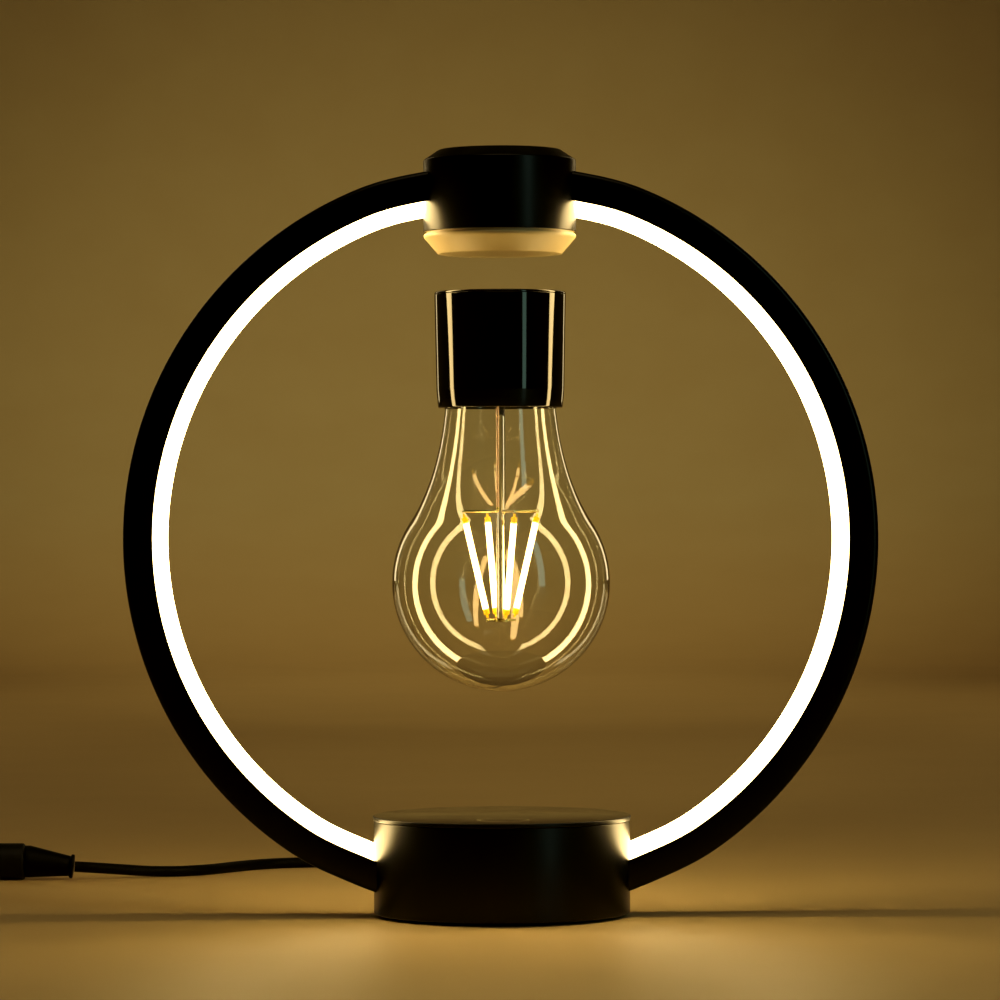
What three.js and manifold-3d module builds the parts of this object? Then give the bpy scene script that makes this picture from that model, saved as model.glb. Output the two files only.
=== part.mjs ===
// Levitating lamp: a bulb floats inside a lit ring, between a weighted base and a magnet module.
// Millimetres, +Z up, front towards -Y. The origin is on the table, under the middle of the base.
import * as THREE from 'three';
import { mergeVertices } from 'three/addons/utils/BufferGeometryUtils.js';
import Module from 'manifold-3d';

const wasm = await Module();
wasm.setup();

// Clearances that every piece shares
const fitGap = 0.3;
const seatGap = 0.05;
const weldTolerance = 0.0001;

// Driving sizes
const ring = {
  footHeight: 0.2, depth: 15, width: 8.1, wall: 1.2, corner: 1.5, cornerSteps: 2, facets: 56,
  diffuserProud: 3.7, diffuserSunk: 2.4, diffuserWall: 1, diffuserRound: 2.2, domeSteps: 2,
  stripWidth: 9, stripThickness: 0.5, ledLength: 3.5, ledWidth: 2.8, ledHeight: 0.8, ledCount: 16,
  ledReachDegrees: 66, lowerInsert: 7.4, upperInsert: 6,
};

const base = {
  radius: 35.2, wall: 1.8, deck: 1.6, shellLift: 0.8, shellTop: 26.35, edge: 0.4, facets: 40,
  panelOverhang: 0.5, panelThickness: 1.2, panelEdge: 0.3,
  plateLift: 1, plateThickness: 2.4, weightThickness: 7,
  footRadius: 4.5, footPlace: 24, footEdge: 0.3,
  bossRadius: 3, bossInset: 6.4, bossPilotDepth: 11, saddleRadius: 2.8,
  cordHoleHeight: 8.5, cordNotch: 5.2, cordNotchDepth: 12,
};
base.innerRadius = base.radius - base.wall;
base.plateTop = base.plateLift + base.plateThickness;
base.deckUnder = base.shellTop - base.deck;
base.bossPlace = base.innerRadius - base.bossInset;

const screw = {
  headRadius: 2.5, headHeight: 1.2, headEdge: 0.3, shankRadius: 1.4, recessDepth: 1.4, facets: 8,
  housingLength: 9.5, lowerLength: 9, upperLength: 10.6,
};
screw.holeRadius = screw.shankRadius + fitGap;

const boards = {
  thickness: 1.6, sink: 0.4, facets: 24, driverShare: 0.68, driverDrop: 7.2, postRadius: 2.2, pinRadius: 0.9,
  pinLength: 2.1, postCount: 3, sensorRadius: 8, sensorThickness: 1, sensorInset: 6.4,
  chip: [5, 4, 1.2], coilBlock: [6.4, 6.4, 3.4], plugBlock: [8.4, 4.2, 4], canRadius: 3.2, canHeight: 5.2,
};
boards.driverRadius = base.innerRadius * boards.driverShare;

const module = {
  radius: 21, height: 22.5, rise: 3.4, wall: 1.6, deck: 1.6, chamferIn: 4.2, chamferDrop: 2.8, facets: 36,
  coverHeight: 6.1, coverMouth: 17, coverWall: 1.4, lipRound: 0.5, lipDrop: 1, seamIn: 0.8, seamHeight: 0.6,
  spigotHeight: 1.8, floorEdge: 0.4, boardShare: 0.6, boardDrop: 2.6,
  bossRadius: 2.3, bossEdge: 0.4,
};
module.innerRadius = module.radius - module.wall;
module.boardRadius = module.innerRadius * module.boardShare;

ring.lowerEnd = base.innerRadius - ring.lowerInsert;
ring.upperEnd = module.innerRadius - ring.upperInsert;
ring.clampHalf = ring.depth / 2 - ring.wall - fitGap;
ring.lowerScrewPlace = ring.lowerEnd + screw.headRadius + ring.wall;
ring.upperScrewPlace = ring.upperEnd + screw.headRadius + fitGap;

const magnet = {
  coreRadius: 5, bobbinWall: 1, flangeRadius: 11.2, flangeThickness: 1, turnCount: 7, turnDepth: 0.5,
  coilInner: 4.8, coilShare: 0.92, coilThickness: 1.3, ferriteThickness: 1.2,
  sensorBoardRadius: 4.2, sensorBoardThickness: 0.6, sensorChip: [3.2, 2.4, 0.6], facets: 20,
};

const cap = {
  height: 31.9, topRadius: 18.1, waistIn: 0.5, bottomIn: 1, mouthIn: 2.4, wall: 1.5,
  waistHeight: 5, softHeight: 2.2, edgeRound: 0.9, lidHeight: 0.7, lidRound: 0.5, spigotHeight: 1.4,
  roundSteps: 2, facets: 36, levitationGap: 10.4,
};
cap.waistRadius = cap.topRadius - cap.waistIn;
cap.bottomRadius = cap.topRadius - cap.bottomIn;
cap.mouthRadius = cap.topRadius - cap.mouthIn;
cap.innerRadius = cap.waistRadius - cap.wall - fitGap;
cap.lidSeat = cap.height - cap.lidHeight;

const bulb = {
  radius: 30, gapBelow: 34, wall: 0.8, flareAngle: 33.1, lipIn: 0.5, capDrop: 47.9, neckIn: 2.6,
  neckRise: 11.5, neckStraight: 5.4, shoulderPull: 9, lipPull: 14, lipLean: 1.4,
  arcSteps: 10, flareSteps: 5, neckSteps: 2, insideShare: 0.6, facets: 30,
};
bulb.neckLip = cap.mouthRadius - bulb.lipIn;
bulb.neckRadius = cap.innerRadius - bulb.neckIn;

// What stands above one another inside the ring sets its size: base, free bulb, gap and module.
base.panelTop = base.shellTop + seatGap + base.panelThickness;
bulb.centreHeight = base.panelTop + bulb.gapBelow + bulb.radius;
module.coverBottom = bulb.centreHeight + bulb.capDrop + cap.height + cap.levitationGap;
module.seam = module.coverBottom + module.coverHeight;
module.top = module.seam + module.height;
module.deckUnder = module.top - module.deck;
ring.radius = (module.top - module.rise - ring.footHeight) / 2;
ring.centreHeight = ring.radius + ring.footHeight;

const receiver = {
  coilInner: 6, coilThickness: 1.3, magnetHeight: 6.8, magnetEdge: 0.5,
  holderLedge: 2.1, holderWall: 1.2, holderFloor: 1.6, postHeight: 3.4, boardShare: 0.86, boardThickness: 1.2,
  collarWall: 1.5, collarHeight: 5, collarLip: 1, pinLength: 1.6,
};
receiver.magnetRadius = cap.innerRadius - receiver.holderLedge - receiver.holderWall - fitGap;
receiver.boardRadius = cap.innerRadius * receiver.boardShare;

const stem = {
  rodRadius: 1.25, rodBottom: -11, pressRadius: 3.6, pressTop: 53, pressBottom: 50.5, rodTop: 48,
  flareGap: 0.4, flareWall: 0.8, facets: 12, tipRound: 0.6, bellSteps: 4,
};

const filament = {
  count: 4, turnDegrees: 19, radius: 0.9, topPlace: 10.8, bottomPlace: 3.9, topHeight: 18.7,
  bottomHeight: -9.7, endTaper: 0.25, pinShare: 0.03, facets: 8, wireRadius: 0.35, armHeight: 19.4,
  leadDegrees: 46, leadGap: 0.15, hookSteps: 5, anchorHeight: -10.4, anchorReach: 4.3,
  hubWall: 0.4, hubHeight: 1, wireFacets: 6,
};
filament.hookRadius = stem.rodRadius + fitGap + filament.wireRadius;
filament.leadTurnDegrees = filament.turnDegrees + filament.leadDegrees;

const cord = {
  radius: 1.6, facets: 8, steps: 38, restHeight: 1.62,
  glandFlange: 4.3, glandFlangeThickness: 1.5, glandNeck: 3.2, glandTail: 18.5, glandTailRadius: 2.3,
  glandFacets: 16, glandSettle: 0.4,
  bootLength: 14, bootWide: 4.8, bootNarrow: 3, bootCollar: 3.6, bootCollarLength: 1, bootRoot: 1.3,
  bootDroopDegrees: 6.6, bootPlace: [-127, 125],
  socketRadius: 5.5, socketLength: 32, socketEdge: 0.8, socketFacets: 16,
  jackRadius: 2.9, jackDepth: 9.5, pinRadius: 1, pinLength: 8.5,
};
cord.glandFace = base.radius + fitGap;
cord.glandEnd = cord.glandFace + cord.glandFlangeThickness + cord.glandTail;
cord.socketAxis = cord.socketRadius + seatGap;
const bootDroop = THREE.MathUtils.degToRad(cord.bootDroopDegrees);
const bootWay = new THREE.Vector3(Math.cos(bootDroop), 0, -Math.sin(bootDroop));
const bootEnd = new THREE.Vector3(...cord.bootPlace, cord.socketAxis + cord.bootLength * bootWay.z);
const cordEnd = bootEnd.clone().addScaledVector(bootWay, fitGap);
// The route lies on the table from the gland behind the base, round to the left, up into the boot.
const cordRoute = [
  [0, cord.glandEnd + fitGap, base.cordHoleHeight],
  [0, 59.6, 8.35],
  [-0.2, 68, 6.3],
  [-0.8, 78, 3.4],
  [-2, 88, 1.9],
  [-4.2, 100, cord.restHeight],
  [-9, 119, cord.restHeight],
  [-17, 138, cord.restHeight],
  [-29, 154, cord.restHeight],
  [-43, 163, cord.restHeight],
  [-56, 164.5, cord.restHeight],
  [-66, 162, cord.restHeight],
  [-74, 156, cord.restHeight],
  [-80.5, 148, cord.restHeight],
  [-87, 139.5, cord.restHeight],
  [-95, 134, cord.restHeight],
  [-104, 131, 1.9],
  [-113, 127.8, 2.75],
  [-121, 125.5, 3.5],
  cordEnd.toArray(),
];

// Colours of the real materials
const paintBlack = { color: 0x14130f, roughness: 0.45, metalness: 0.2 };
const glossBlack = { color: 0x060606, roughness: 0.08, metalness: 0 };
const milkWhite = { color: 0xfff2d8, roughness: 0.5, metalness: 0 };
const creamPlastic = { color: 0xe8dcc0, roughness: 0.4, metalness: 0 };
const clearGlass = { color: 0xf4f7f5, roughness: 0.03, metalness: 0, transparent: true, opacity: 0.3 };
const boardGreen = { color: 0x1f5a36, roughness: 0.5, metalness: 0.1 };
const stripWhite = { color: 0xf2f0e6, roughness: 0.5, metalness: 0 };
const steel = { color: 0x8d9093, roughness: 0.35, metalness: 1 };
const castIron = { color: 0x3c3d3f, roughness: 0.6, metalness: 0.9 };
const copper = { color: 0xb5622f, roughness: 0.3, metalness: 1 };
const ferriteGrey = { color: 0x2e2e31, roughness: 0.7, metalness: 0.2 };
const nickel = { color: 0xc9c9c4, roughness: 0.2, metalness: 1 };
const brass = { color: 0xc49a3a, roughness: 0.28, metalness: 1 };
const phosphor = { color: 0xf2b632, roughness: 0.5, metalness: 0 };
const rubberBlack = { color: 0x101010, roughness: 0.75, metalness: 0 };
const nylonBlack = { color: 0x1a1a1a, roughness: 0.5, metalness: 0 };

// Merges shared vertices, drops flat triangles and turns the faces outwards.
function weld(geometry) {
  const bare = geometry.clone();
  bare.deleteAttribute('normal');
  bare.deleteAttribute('uv');
  const merged = mergeVertices(bare, weldTolerance);
  const place = merged.attributes.position;
  const corners = [];
  const [a, b, c] = [new THREE.Vector3(), new THREE.Vector3(), new THREE.Vector3()];
  let volume = 0;
  for (let i = 0; i < merged.index.count; i += 3) {
    const [p, q, r] = [0, 1, 2].map((k) => merged.index.getX(i + k));
    if (p === q || q === r || r === p) continue;
    a.fromBufferAttribute(place, p);
    b.fromBufferAttribute(place, q);
    c.fromBufferAttribute(place, r);
    volume += a.dot(b.cross(c));
    corners.push(p, q, r);
  }
  if (volume < 0) corners.reverse();
  merged.setIndex(corners);
  return merged;
}

// A lathe about +Z through [radius, height] points, which start and end on the axis or close on themselves.
function lathe(points, facets) {
  const profile = points.map(([r, z]) => new THREE.Vector2(r, z));
  const ends = [profile[0], profile.at(-1)];
  if (ends.some((end) => end.x > 0)) profile.push(profile[0].clone());
  return weld(new THREE.LatheGeometry(profile, facets).rotateX(Math.PI / 2));
}

// A lathe about Y, for the pieces that follow the ring.
function ringLathe(points) {
  const profile = [...points, points[0]].map(([r, y]) => new THREE.Vector2(r, y));
  return weld(new THREE.LatheGeometry(profile, ring.facets));
}

function cylinder(radius, low, high, facets) {
  return lathe([[0, low], [radius, low], [radius, high], [0, high]], facets);
}

function box(size, centre) {
  return weld(new THREE.BoxGeometry(...size).translate(...centre));
}

function boxBetween(low, high) {
  const size = low.map((value, i) => high[i] - value);
  return box(size, low.map((value, i) => value + size[i] / 2));
}

// A round rod from one point to another.
function rod(radius, from, to, facets) {
  const way = new THREE.Vector3().subVectors(to, from);
  const turn = new THREE.Quaternion().setFromUnitVectors(new THREE.Vector3(0, 0, 1), way.clone().normalize());
  return cylinder(radius, 0, way.length(), facets).applyQuaternion(turn).translate(from.x, from.y, from.z);
}

function toSolid(geometry) {
  const vertProperties = Float32Array.from(geometry.attributes.position.array);
  const triVerts = Uint32Array.from(geometry.index.array);
  return new wasm.Manifold(new wasm.Mesh({ numProp: 3, vertProperties, triVerts }));
}

function fromSolid(solid) {
  const mesh = solid.getMesh();
  const geometry = new THREE.BufferGeometry();
  geometry.setAttribute('position', new THREE.BufferAttribute(mesh.vertProperties, 3));
  geometry.setIndex(Array.from(mesh.triVerts));
  return geometry;
}

function join(first, ...others) {
  return fromSolid(others.reduce((sum, other) => sum.add(toSolid(other)), toSolid(first)));
}

function cut(first, ...tools) {
  return fromSolid(tools.reduce((rest, tool) => rest.subtract(toSolid(tool)), toSolid(first)));
}

function keep(first, ...bounds) {
  return fromSolid(bounds.reduce((rest, bound) => rest.intersect(toSolid(bound)), toSolid(first)));
}

function named(name, geometry, look) {
  const shape = geometry.clone();
  shape.computeVertexNormals();
  const mesh = new THREE.Mesh(shape, new THREE.MeshStandardMaterial(look));
  mesh.name = name;
  return mesh;
}

function groupAt(x, y, z, ...children) {
  const group = new THREE.Group();
  group.position.set(x, y, z);
  group.add(...children);
  return group;
}

// Points of a round corner from one angle to another, in degrees, both ends included.
function arcPoints(centre, radius, fromDegrees, toDegrees, steps) {
  const points = [];
  for (let i = 0; i <= steps; i += 1) {
    const angle = THREE.MathUtils.degToRad(THREE.MathUtils.lerp(fromDegrees, toDegrees, i / steps));
    points.push([centre[0] + radius * Math.cos(angle), centre[1] + radius * Math.sin(angle)]);
  }
  return points;
}

function polar(radius, degrees) {
  const angle = THREE.MathUtils.degToRad(degrees);
  return [radius * Math.cos(angle), radius * Math.sin(angle)];
}

const sides = { left: -1, right: 1 };

// Moves a ring piece, made about the origin, up to the ring's centre.
function toRing(geometry) {
  return geometry.clone().translate(0, 0, ring.centreHeight);
}

// The outer half of one arc, with its ends cut upright at the two given distances from the middle.
function arcSpan(side, lowerEnd, upperEnd) {
  const reach = ring.radius + ring.width;
  const cutAt = (end, low, high) => boxBetween(
    [side > 0 ? end : -2 * reach, -reach, low],
    [side > 0 ? 2 * reach : -end, reach, high],
  );
  const middle = ring.centreHeight;
  return join(
    cutAt(lowerEnd, middle - 2 * reach, middle),
    cutAt(upperEnd, middle - ring.width, middle + 2 * reach),
  );
}

// The room that an arc's channel takes, with the clearance round it, for slots and saddles.
function channelRoom(side) {
  const outer = ring.radius + fitGap;
  const inner = ring.radius - ring.width - fitGap;
  const deep = ring.depth / 2 + fitGap;
  const band = ringLathe([[inner, -deep], [outer, -deep], [outer, deep], [inner, deep]]);
  const span = arcSpan(side, ring.lowerEnd - fitGap, ring.upperEnd - fitGap);
  return keep(toRing(band), span);
}

// Everything inside the channel's floor, as a thick disc, to trim what sits in the channel.
function channelFloorDisc() {
  const floor = ring.radius - ring.wall - fitGap;
  const disc = cylinder(floor, -ring.depth, ring.depth, ring.facets);
  return toRing(weld(disc.rotateX(Math.PI / 2)));
}

// U-shaped channel, open towards the middle of the ring, with rounded outer corners.
function ringChannel(side) {
  const half = ring.depth / 2;
  const innerHalf = half - ring.wall;
  const mouth = ring.radius - ring.width;
  const floor = ring.radius - ring.wall;
  const bend = ring.radius - ring.corner;
  const profile = [
    [mouth, -half],
    ...arcPoints([bend, -half + ring.corner], ring.corner, -90, 0, ring.cornerSteps),
    ...arcPoints([bend, half - ring.corner], ring.corner, 0, 90, ring.cornerSteps),
    [mouth, half],
    [mouth, innerHalf],
    [floor, innerHalf],
    [floor, -innerHalf],
    [mouth, -innerHalf],
  ];
  const [lowX, highX] = [side * ring.lowerScrewPlace, side * ring.upperScrewPlace];
  const holes = [
    cylinder(screw.holeRadius, 0, ring.centreHeight, screw.facets).translate(lowX, 0, 0),
    cylinder(screw.holeRadius, ring.centreHeight, module.top, screw.facets).translate(highX, 0, 0),
  ];
  const arc = keep(toRing(ringLathe(profile)), arcSpan(side, ring.lowerEnd, ring.upperEnd));
  return cut(arc, ...holes);
}

// Domed diffuser, a thin C-section pushed into the channel's mouth and proud of it.
function ringDiffuser(side) {
  const mouth = ring.radius - ring.width;
  const half = ring.depth / 2 - ring.wall - fitGap;
  const skin = (inset, steps) => {
    const edge = half - inset;
    const round = ring.diffuserRound - inset;
    const face = mouth - ring.diffuserProud + inset;
    const low = arcPoints([face + round, round - edge], round, 270, 180, steps);
    const high = arcPoints([face + round, edge - round], round, 180, 90, steps);
    return [[mouth + ring.diffuserSunk, -edge], ...low, ...high, [mouth + ring.diffuserSunk, edge]];
  };
  const profile = [...skin(0, ring.domeSteps), ...skin(ring.diffuserWall, 1).reverse()];
  const arc = keep(toRing(ringLathe(profile)), arcSpan(side, 0, 0));
  const tall = ring.centreHeight;
  const baseRoom = cylinder(base.radius + fitGap, 0, tall, base.facets);
  const moduleRoom = cylinder(module.radius + fitGap, tall, 2 * tall, module.facets);
  return cut(arc, baseRoom, moduleRoom);
}

// Flexible strip on the channel's floor, with its light chips facing the diffuser.
function ringStrip(side) {
  const floor = ring.radius - ring.wall - fitGap;
  const top = floor - ring.stripThickness;
  const half = ring.stripWidth / 2;
  const band = ringLathe([[top, -half], [floor, -half], [floor, half], [top, half]]);
  const limits = arcSpan(side, base.radius, module.radius);
  const chips = [];
  for (let i = 0; i < ring.ledCount; i += 1) {
    const share = i / (ring.ledCount - 1) * 2 - 1;
    const degrees = share * ring.ledReachDegrees;
    const deep = ring.ledHeight + ring.stripThickness;
    const chip = box([deep, ring.ledWidth, ring.ledLength], [floor - deep / 2, 0, 0]);
    chip.rotateY(THREE.MathUtils.degToRad(side > 0 ? degrees : 180 + degrees));
    chips.push(toRing(chip));
  }
  return join(keep(toRing(band), limits), ...chips);
}

// A block on one side of the middle, between two distances from it and two heights.
function sideBlock(side, [from, to], halfDepth, [low, high]) {
  const [left, right] = side > 0 ? [from, to] : [-to, -from];
  return boxBetween([left, -halfDepth, low], [right, halfDepth, high]);
}

// Threaded block inside the channel's end, which the ring screw pulls against the saddle.
function lowerClamp(side) {
  const [from, to] = [ring.lowerEnd + fitGap, base.innerRadius - base.edge - fitGap];
  const high = base.deckUnder - boards.driverDrop - boards.thickness - fitGap;
  const y = ring.clampHalf;
  const wall = cylinder(base.innerRadius - fitGap, 0, high, base.facets);
  const trimmed = keep(sideBlock(side, [from, to], y, [0, high]), channelFloorDisc(), wall);
  const hole = cylinder(screw.holeRadius, 0, high, screw.facets);
  return cut(trimmed, hole.translate(side * ring.lowerScrewPlace, 0, 0));
}

function upperClamp(side) {
  const [from, to] = [ring.upperEnd + fitGap, module.innerRadius - fitGap];
  const low = upperClampFoot();
  const y = ring.clampHalf;
  const wall = cylinder(module.innerRadius - fitGap, low, module.top, module.facets);
  const trimmed = keep(sideBlock(side, [from, to], y, [low, module.top]), channelFloorDisc(), wall);
  const hole = cylinder(screw.holeRadius, low, module.top, screw.facets);
  return cut(trimmed, hole.translate(side * ring.upperScrewPlace, 0, 0));
}

// The upper clamp stands out of the channel by one wall, so that the screw head bears on it.
function upperClampFoot() {
  const inner = ring.radius - ring.width;
  return ring.centreHeight + Math.sqrt(inner ** 2 - module.innerRadius ** 2) - ring.wall;
}

// Pan head screw with its head's underside at height zero and its shank upwards.
function screwShape(length) {
  return lathe([
    [0, -screw.headHeight],
    [screw.headRadius - screw.headEdge, -screw.headHeight],
    [screw.headRadius, screw.headEdge - screw.headHeight],
    [screw.headRadius, 0],
    [screw.shankRadius, 0],
    [screw.shankRadius, length - screw.shankRadius / 2],
    [screw.shankRadius / 2, length],
    [0, length],
  ], screw.facets);
}

const screwTurns = [60, 120, 240, 300];
const footTurns = [30, 150, 210, 330];

function baseShell() {
  const { radius, innerRadius, shellLift, shellTop, deckUnder, edge } = base;
  const body = lathe([
    [0, deckUnder],
    [innerRadius - edge, deckUnder],
    [innerRadius, deckUnder - edge],
    [innerRadius, shellLift],
    [radius - edge, shellLift],
    [radius, shellLift + edge],
    [radius, shellTop],
    [0, shellTop],
  ], base.facets);
  const posts = [];
  const pilots = [];
  for (const degrees of screwTurns) {
    const [x, y] = polar(base.bossPlace, degrees);
    const post = cylinder(base.bossRadius, base.plateTop + seatGap, deckUnder + edge, screw.facets);
    const pilot = cylinder(screw.holeRadius, 0, base.plateTop + base.bossPilotDepth, screw.facets);
    posts.push(post.translate(x, y, 0));
    pilots.push(pilot.translate(x, y, 0));
  }
  for (let i = 0; i < boards.postCount; i += 1) {
    const [x, y] = polar(boards.driverRadius - boards.postRadius, 90 + i * 360 / boards.postCount);
    posts.push(stake(boards.driverDrop, boards.pinLength).translate(x, y, deckUnder));
  }
  const slots = Object.values(sides).map(channelRoom);
  const cordHole = rod(
    cord.glandNeck + fitGap,
    new THREE.Vector3(0, base.innerRadius / 2, base.cordHoleHeight),
    new THREE.Vector3(0, 2 * base.radius, base.cordHoleHeight),
    cord.glandFacets,
  );
  return cut(join(body, ...posts), ...pilots, ...slots, cordHole);
}

// Stepped post that hangs from a deck at height zero, with a pin that goes through a board.
function stake(drop, pinLength) {
  return lathe([
    [0, -drop - pinLength],
    [boards.pinRadius, -drop - pinLength],
    [boards.pinRadius, -drop],
    [boards.postRadius, -drop],
    [boards.postRadius, seatGap * 2],
    [0, seatGap * 2],
  ], screw.facets);
}

function touchPanel() {
  const radius = base.radius + base.panelOverhang;
  const { panelEdge, panelThickness } = base;
  return lathe([
    [0, 0],
    [radius - panelEdge, 0],
    [radius, panelEdge],
    [radius, panelThickness - panelEdge],
    [radius - panelEdge, panelThickness],
    [0, panelThickness],
  ], base.facets);
}

function touchSensorBoard() {
  const disc = cylinder(boards.sensorRadius, 0, boards.sensorThickness, boards.facets);
  const chip = standing(boards.chip, 0, 0, 0);
  return join(disc, chip.translate(0, 0, boards.sink - boards.chip[2]));
}

// A component that stands on a board whose top is at the given height, sunk in a little to join it.
function standing([wide, deep, high], x, y, top) {
  const low = [x - wide / 2, y - deep / 2, top - boards.sink];
  return boxBetween(low, [x + wide / 2, y + deep / 2, top + high]);
}

// Round driver board, component side up, with holes for the stakes that carry it.
function driverBoard() {
  const radius = boards.driverRadius;
  const deep = boards.thickness;
  const disc = cylinder(radius, 0, deep, boards.facets);
  const holes = [];
  for (let i = 0; i < boards.postCount; i += 1) {
    const [x, y] = polar(radius - boards.postRadius, 90 + i * 360 / boards.postCount);
    holes.push(cylinder(boards.pinRadius + fitGap, -deep, 2 * deep, screw.facets).translate(x, y, 0));
  }
  const place = radius / 2;
  const can = cylinder(boards.canRadius, deep - boards.sink, deep + boards.canHeight, boards.facets / 2);
  const parts = [
    standing(boards.coilBlock, place, 0, deep),
    standing(boards.chip, 0, 0, deep),
    standing(boards.chip, 0, -place, deep),
    standing(boards.plugBlock, -place, -boards.canRadius, deep),
    can.translate(-place / 2, place / 2, 0),
  ];
  return cut(join(disc, ...parts), ...holes);
}

// Cast weight on the bottom plate, cut away round the bosses, the ring's ends and the cord.
function baseWeight() {
  const radius = base.innerRadius - fitGap;
  const [low, high] = [base.plateTop + seatGap, base.plateTop + seatGap + base.weightThickness];
  const tools = screwTurns.map((degrees) => {
    const [x, y] = polar(base.bossPlace, degrees);
    return cylinder(base.bossRadius + fitGap, 0, high + base.edge, screw.facets * 2).translate(x, y, 0);
  });
  const slot = ring.depth / 2 + fitGap * 2;
  const from = ring.lowerEnd - ring.wall;
  tools.push(boxBetween([from, -slot, 0], [base.radius, slot, 2 * high]));
  tools.push(boxBetween([-base.radius, -slot, 0], [-from, slot, 2 * high]));
  const notch = base.cordNotch;
  tools.push(boxBetween([-notch, base.innerRadius - base.cordNotchDepth, 0], [notch, base.radius, 2 * high]));
  return cut(cylinder(radius, low, high, base.facets), ...tools);
}

// Bottom plate with recessed screw holes and two saddles that the ring's ends rest on.
function basePlate() {
  const radius = base.innerRadius - fitGap;
  const { plateLift, plateTop } = base;
  const disc = cylinder(radius, plateLift, plateTop, base.facets);
  const saddles = Object.values(sides).map((side) => {
    const riser = cylinder(base.saddleRadius, plateLift, 2 * plateTop, screw.facets * 2);
    return cut(riser.translate(side * ring.lowerScrewPlace, 0, 0), channelRoom(side));
  });
  const places = screwTurns.map((degrees) => polar(base.bossPlace, degrees));
  places.push([ring.lowerScrewPlace, 0], [-ring.lowerScrewPlace, 0]);
  const holes = places.flatMap(([x, y]) => [
    cylinder(screw.holeRadius, 0, 2 * plateTop, screw.facets).translate(x, y, 0),
    cylinder(screw.headRadius + fitGap, 0, plateLift + screw.recessDepth, screw.facets).translate(x, y, 0),
  ]);
  return cut(join(disc, ...saddles), ...holes);
}

function foot() {
  const { footRadius, footEdge } = base;
  const high = base.plateLift - seatGap;
  return lathe([
    [0, 0],
    [footRadius - footEdge, 0],
    [footRadius, footEdge],
    [footRadius, high],
    [0, high],
  ], boards.facets / 2);
}

function makeBase() {
  const parts = [
    named('base_shell', baseShell(), paintBlack),
    named('base_weight', baseWeight(), castIron),
    named('base_plate', basePlate(), nylonBlack),
  ];
  const panel = named('touch_panel', touchPanel(), paintBlack);
  panel.position.z = base.shellTop + seatGap;
  const sensor = named('touch_sensor_board', touchSensorBoard(), boardGreen);
  const sensorPlace = base.innerRadius - boards.sensorRadius - boards.sensorInset;
  sensor.position.set(0, -sensorPlace, base.deckUnder - seatGap - boards.sensorThickness);
  const driver = named('driver_board', driverBoard(), boardGreen);
  driver.position.z = base.deckUnder - boards.driverDrop - seatGap - boards.thickness;
  parts.push(panel, sensor, driver);
  const seat = base.plateLift + screw.recessDepth - seatGap;
  screwTurns.forEach((degrees, i) => {
    const fastener = named(`housing_screw_${i + 1}`, screwShape(screw.housingLength), steel);
    fastener.position.set(...polar(base.bossPlace, degrees), seat);
    const pad = named(`rubber_foot_${i + 1}`, foot(), rubberBlack);
    pad.position.set(...polar(base.footPlace, footTurns[i]), 0);
    parts.push(fastener, pad);
  });
  for (const [word, side] of Object.entries(sides)) {
    parts.push(named(`lower_ring_clamp_${word}`, lowerClamp(side), nylonBlack));
    const fastener = named(`lower_ring_screw_${word}`, screwShape(screw.lowerLength), steel);
    fastener.position.set(side * ring.lowerScrewPlace, 0, seat);
    parts.push(fastener);
  }
  return groupAt(0, 0, 0, ...parts);
}

function makeRing() {
  const parts = [];
  for (const [word, side] of Object.entries(sides)) {
    parts.push(named(`ring_channel_${word}`, ringChannel(side), paintBlack));
    parts.push(named(`ring_diffuser_${word}`, ringDiffuser(side), milkWhite));
    parts.push(named(`led_strip_${word}`, ringStrip(side), stripWhite));
  }
  return groupAt(0, 0, 0, ...parts);
}

// Module housing with a wide chamfer round its top, slots for the ring and bosses for its screws.
function moduleShell() {
  const { radius, innerRadius, seam, top, deckUnder, chamferIn, chamferDrop } = module;
  const body = lathe([
    [0, deckUnder],
    [innerRadius - chamferIn, deckUnder],
    [innerRadius, deckUnder - chamferDrop],
    [innerRadius, seam],
    [radius, seam],
    [radius, top - chamferDrop],
    [radius - chamferIn, top],
    [0, top],
  ], module.facets);
  const posts = [];
  const tools = [];
  for (const side of Object.values(sides)) {
    const x = side * ring.upperScrewPlace;
    const low = ring.centreHeight + ring.radius - ring.width;
    const post = cylinder(module.bossRadius, low, deckUnder + module.bossEdge, screw.facets * 2);
    const pilotTop = upperClampFoot() + screw.upperLength + fitGap;
    const pilot = cylinder(screw.holeRadius, low, pilotTop, screw.facets);
    posts.push(post.translate(x, 0, 0));
    tools.push(channelRoom(side), pilot.translate(x, 0, 0));
    const y = side * (module.boardRadius - boards.postRadius);
    posts.push(stake(module.boardDrop, boards.thickness / 2).translate(0, y, deckUnder));
  }
  return cut(join(body, ...posts), ...tools);
}

function moduleBoard() {
  const radius = module.boardRadius;
  const deep = boards.thickness;
  const disc = cylinder(radius, 0, deep, boards.facets);
  const chips = [-1, 1].map((side) => standing(boards.chip, side * radius / 2, 0, deep));
  const holes = [-1, 1].map((side) => {
    const hole = cylinder(boards.pinRadius + fitGap, -deep, 2 * deep, screw.facets);
    return hole.translate(0, side * (radius - boards.postRadius), 0);
  });
  return cut(join(disc, ...chips), ...holes);
}

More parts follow.
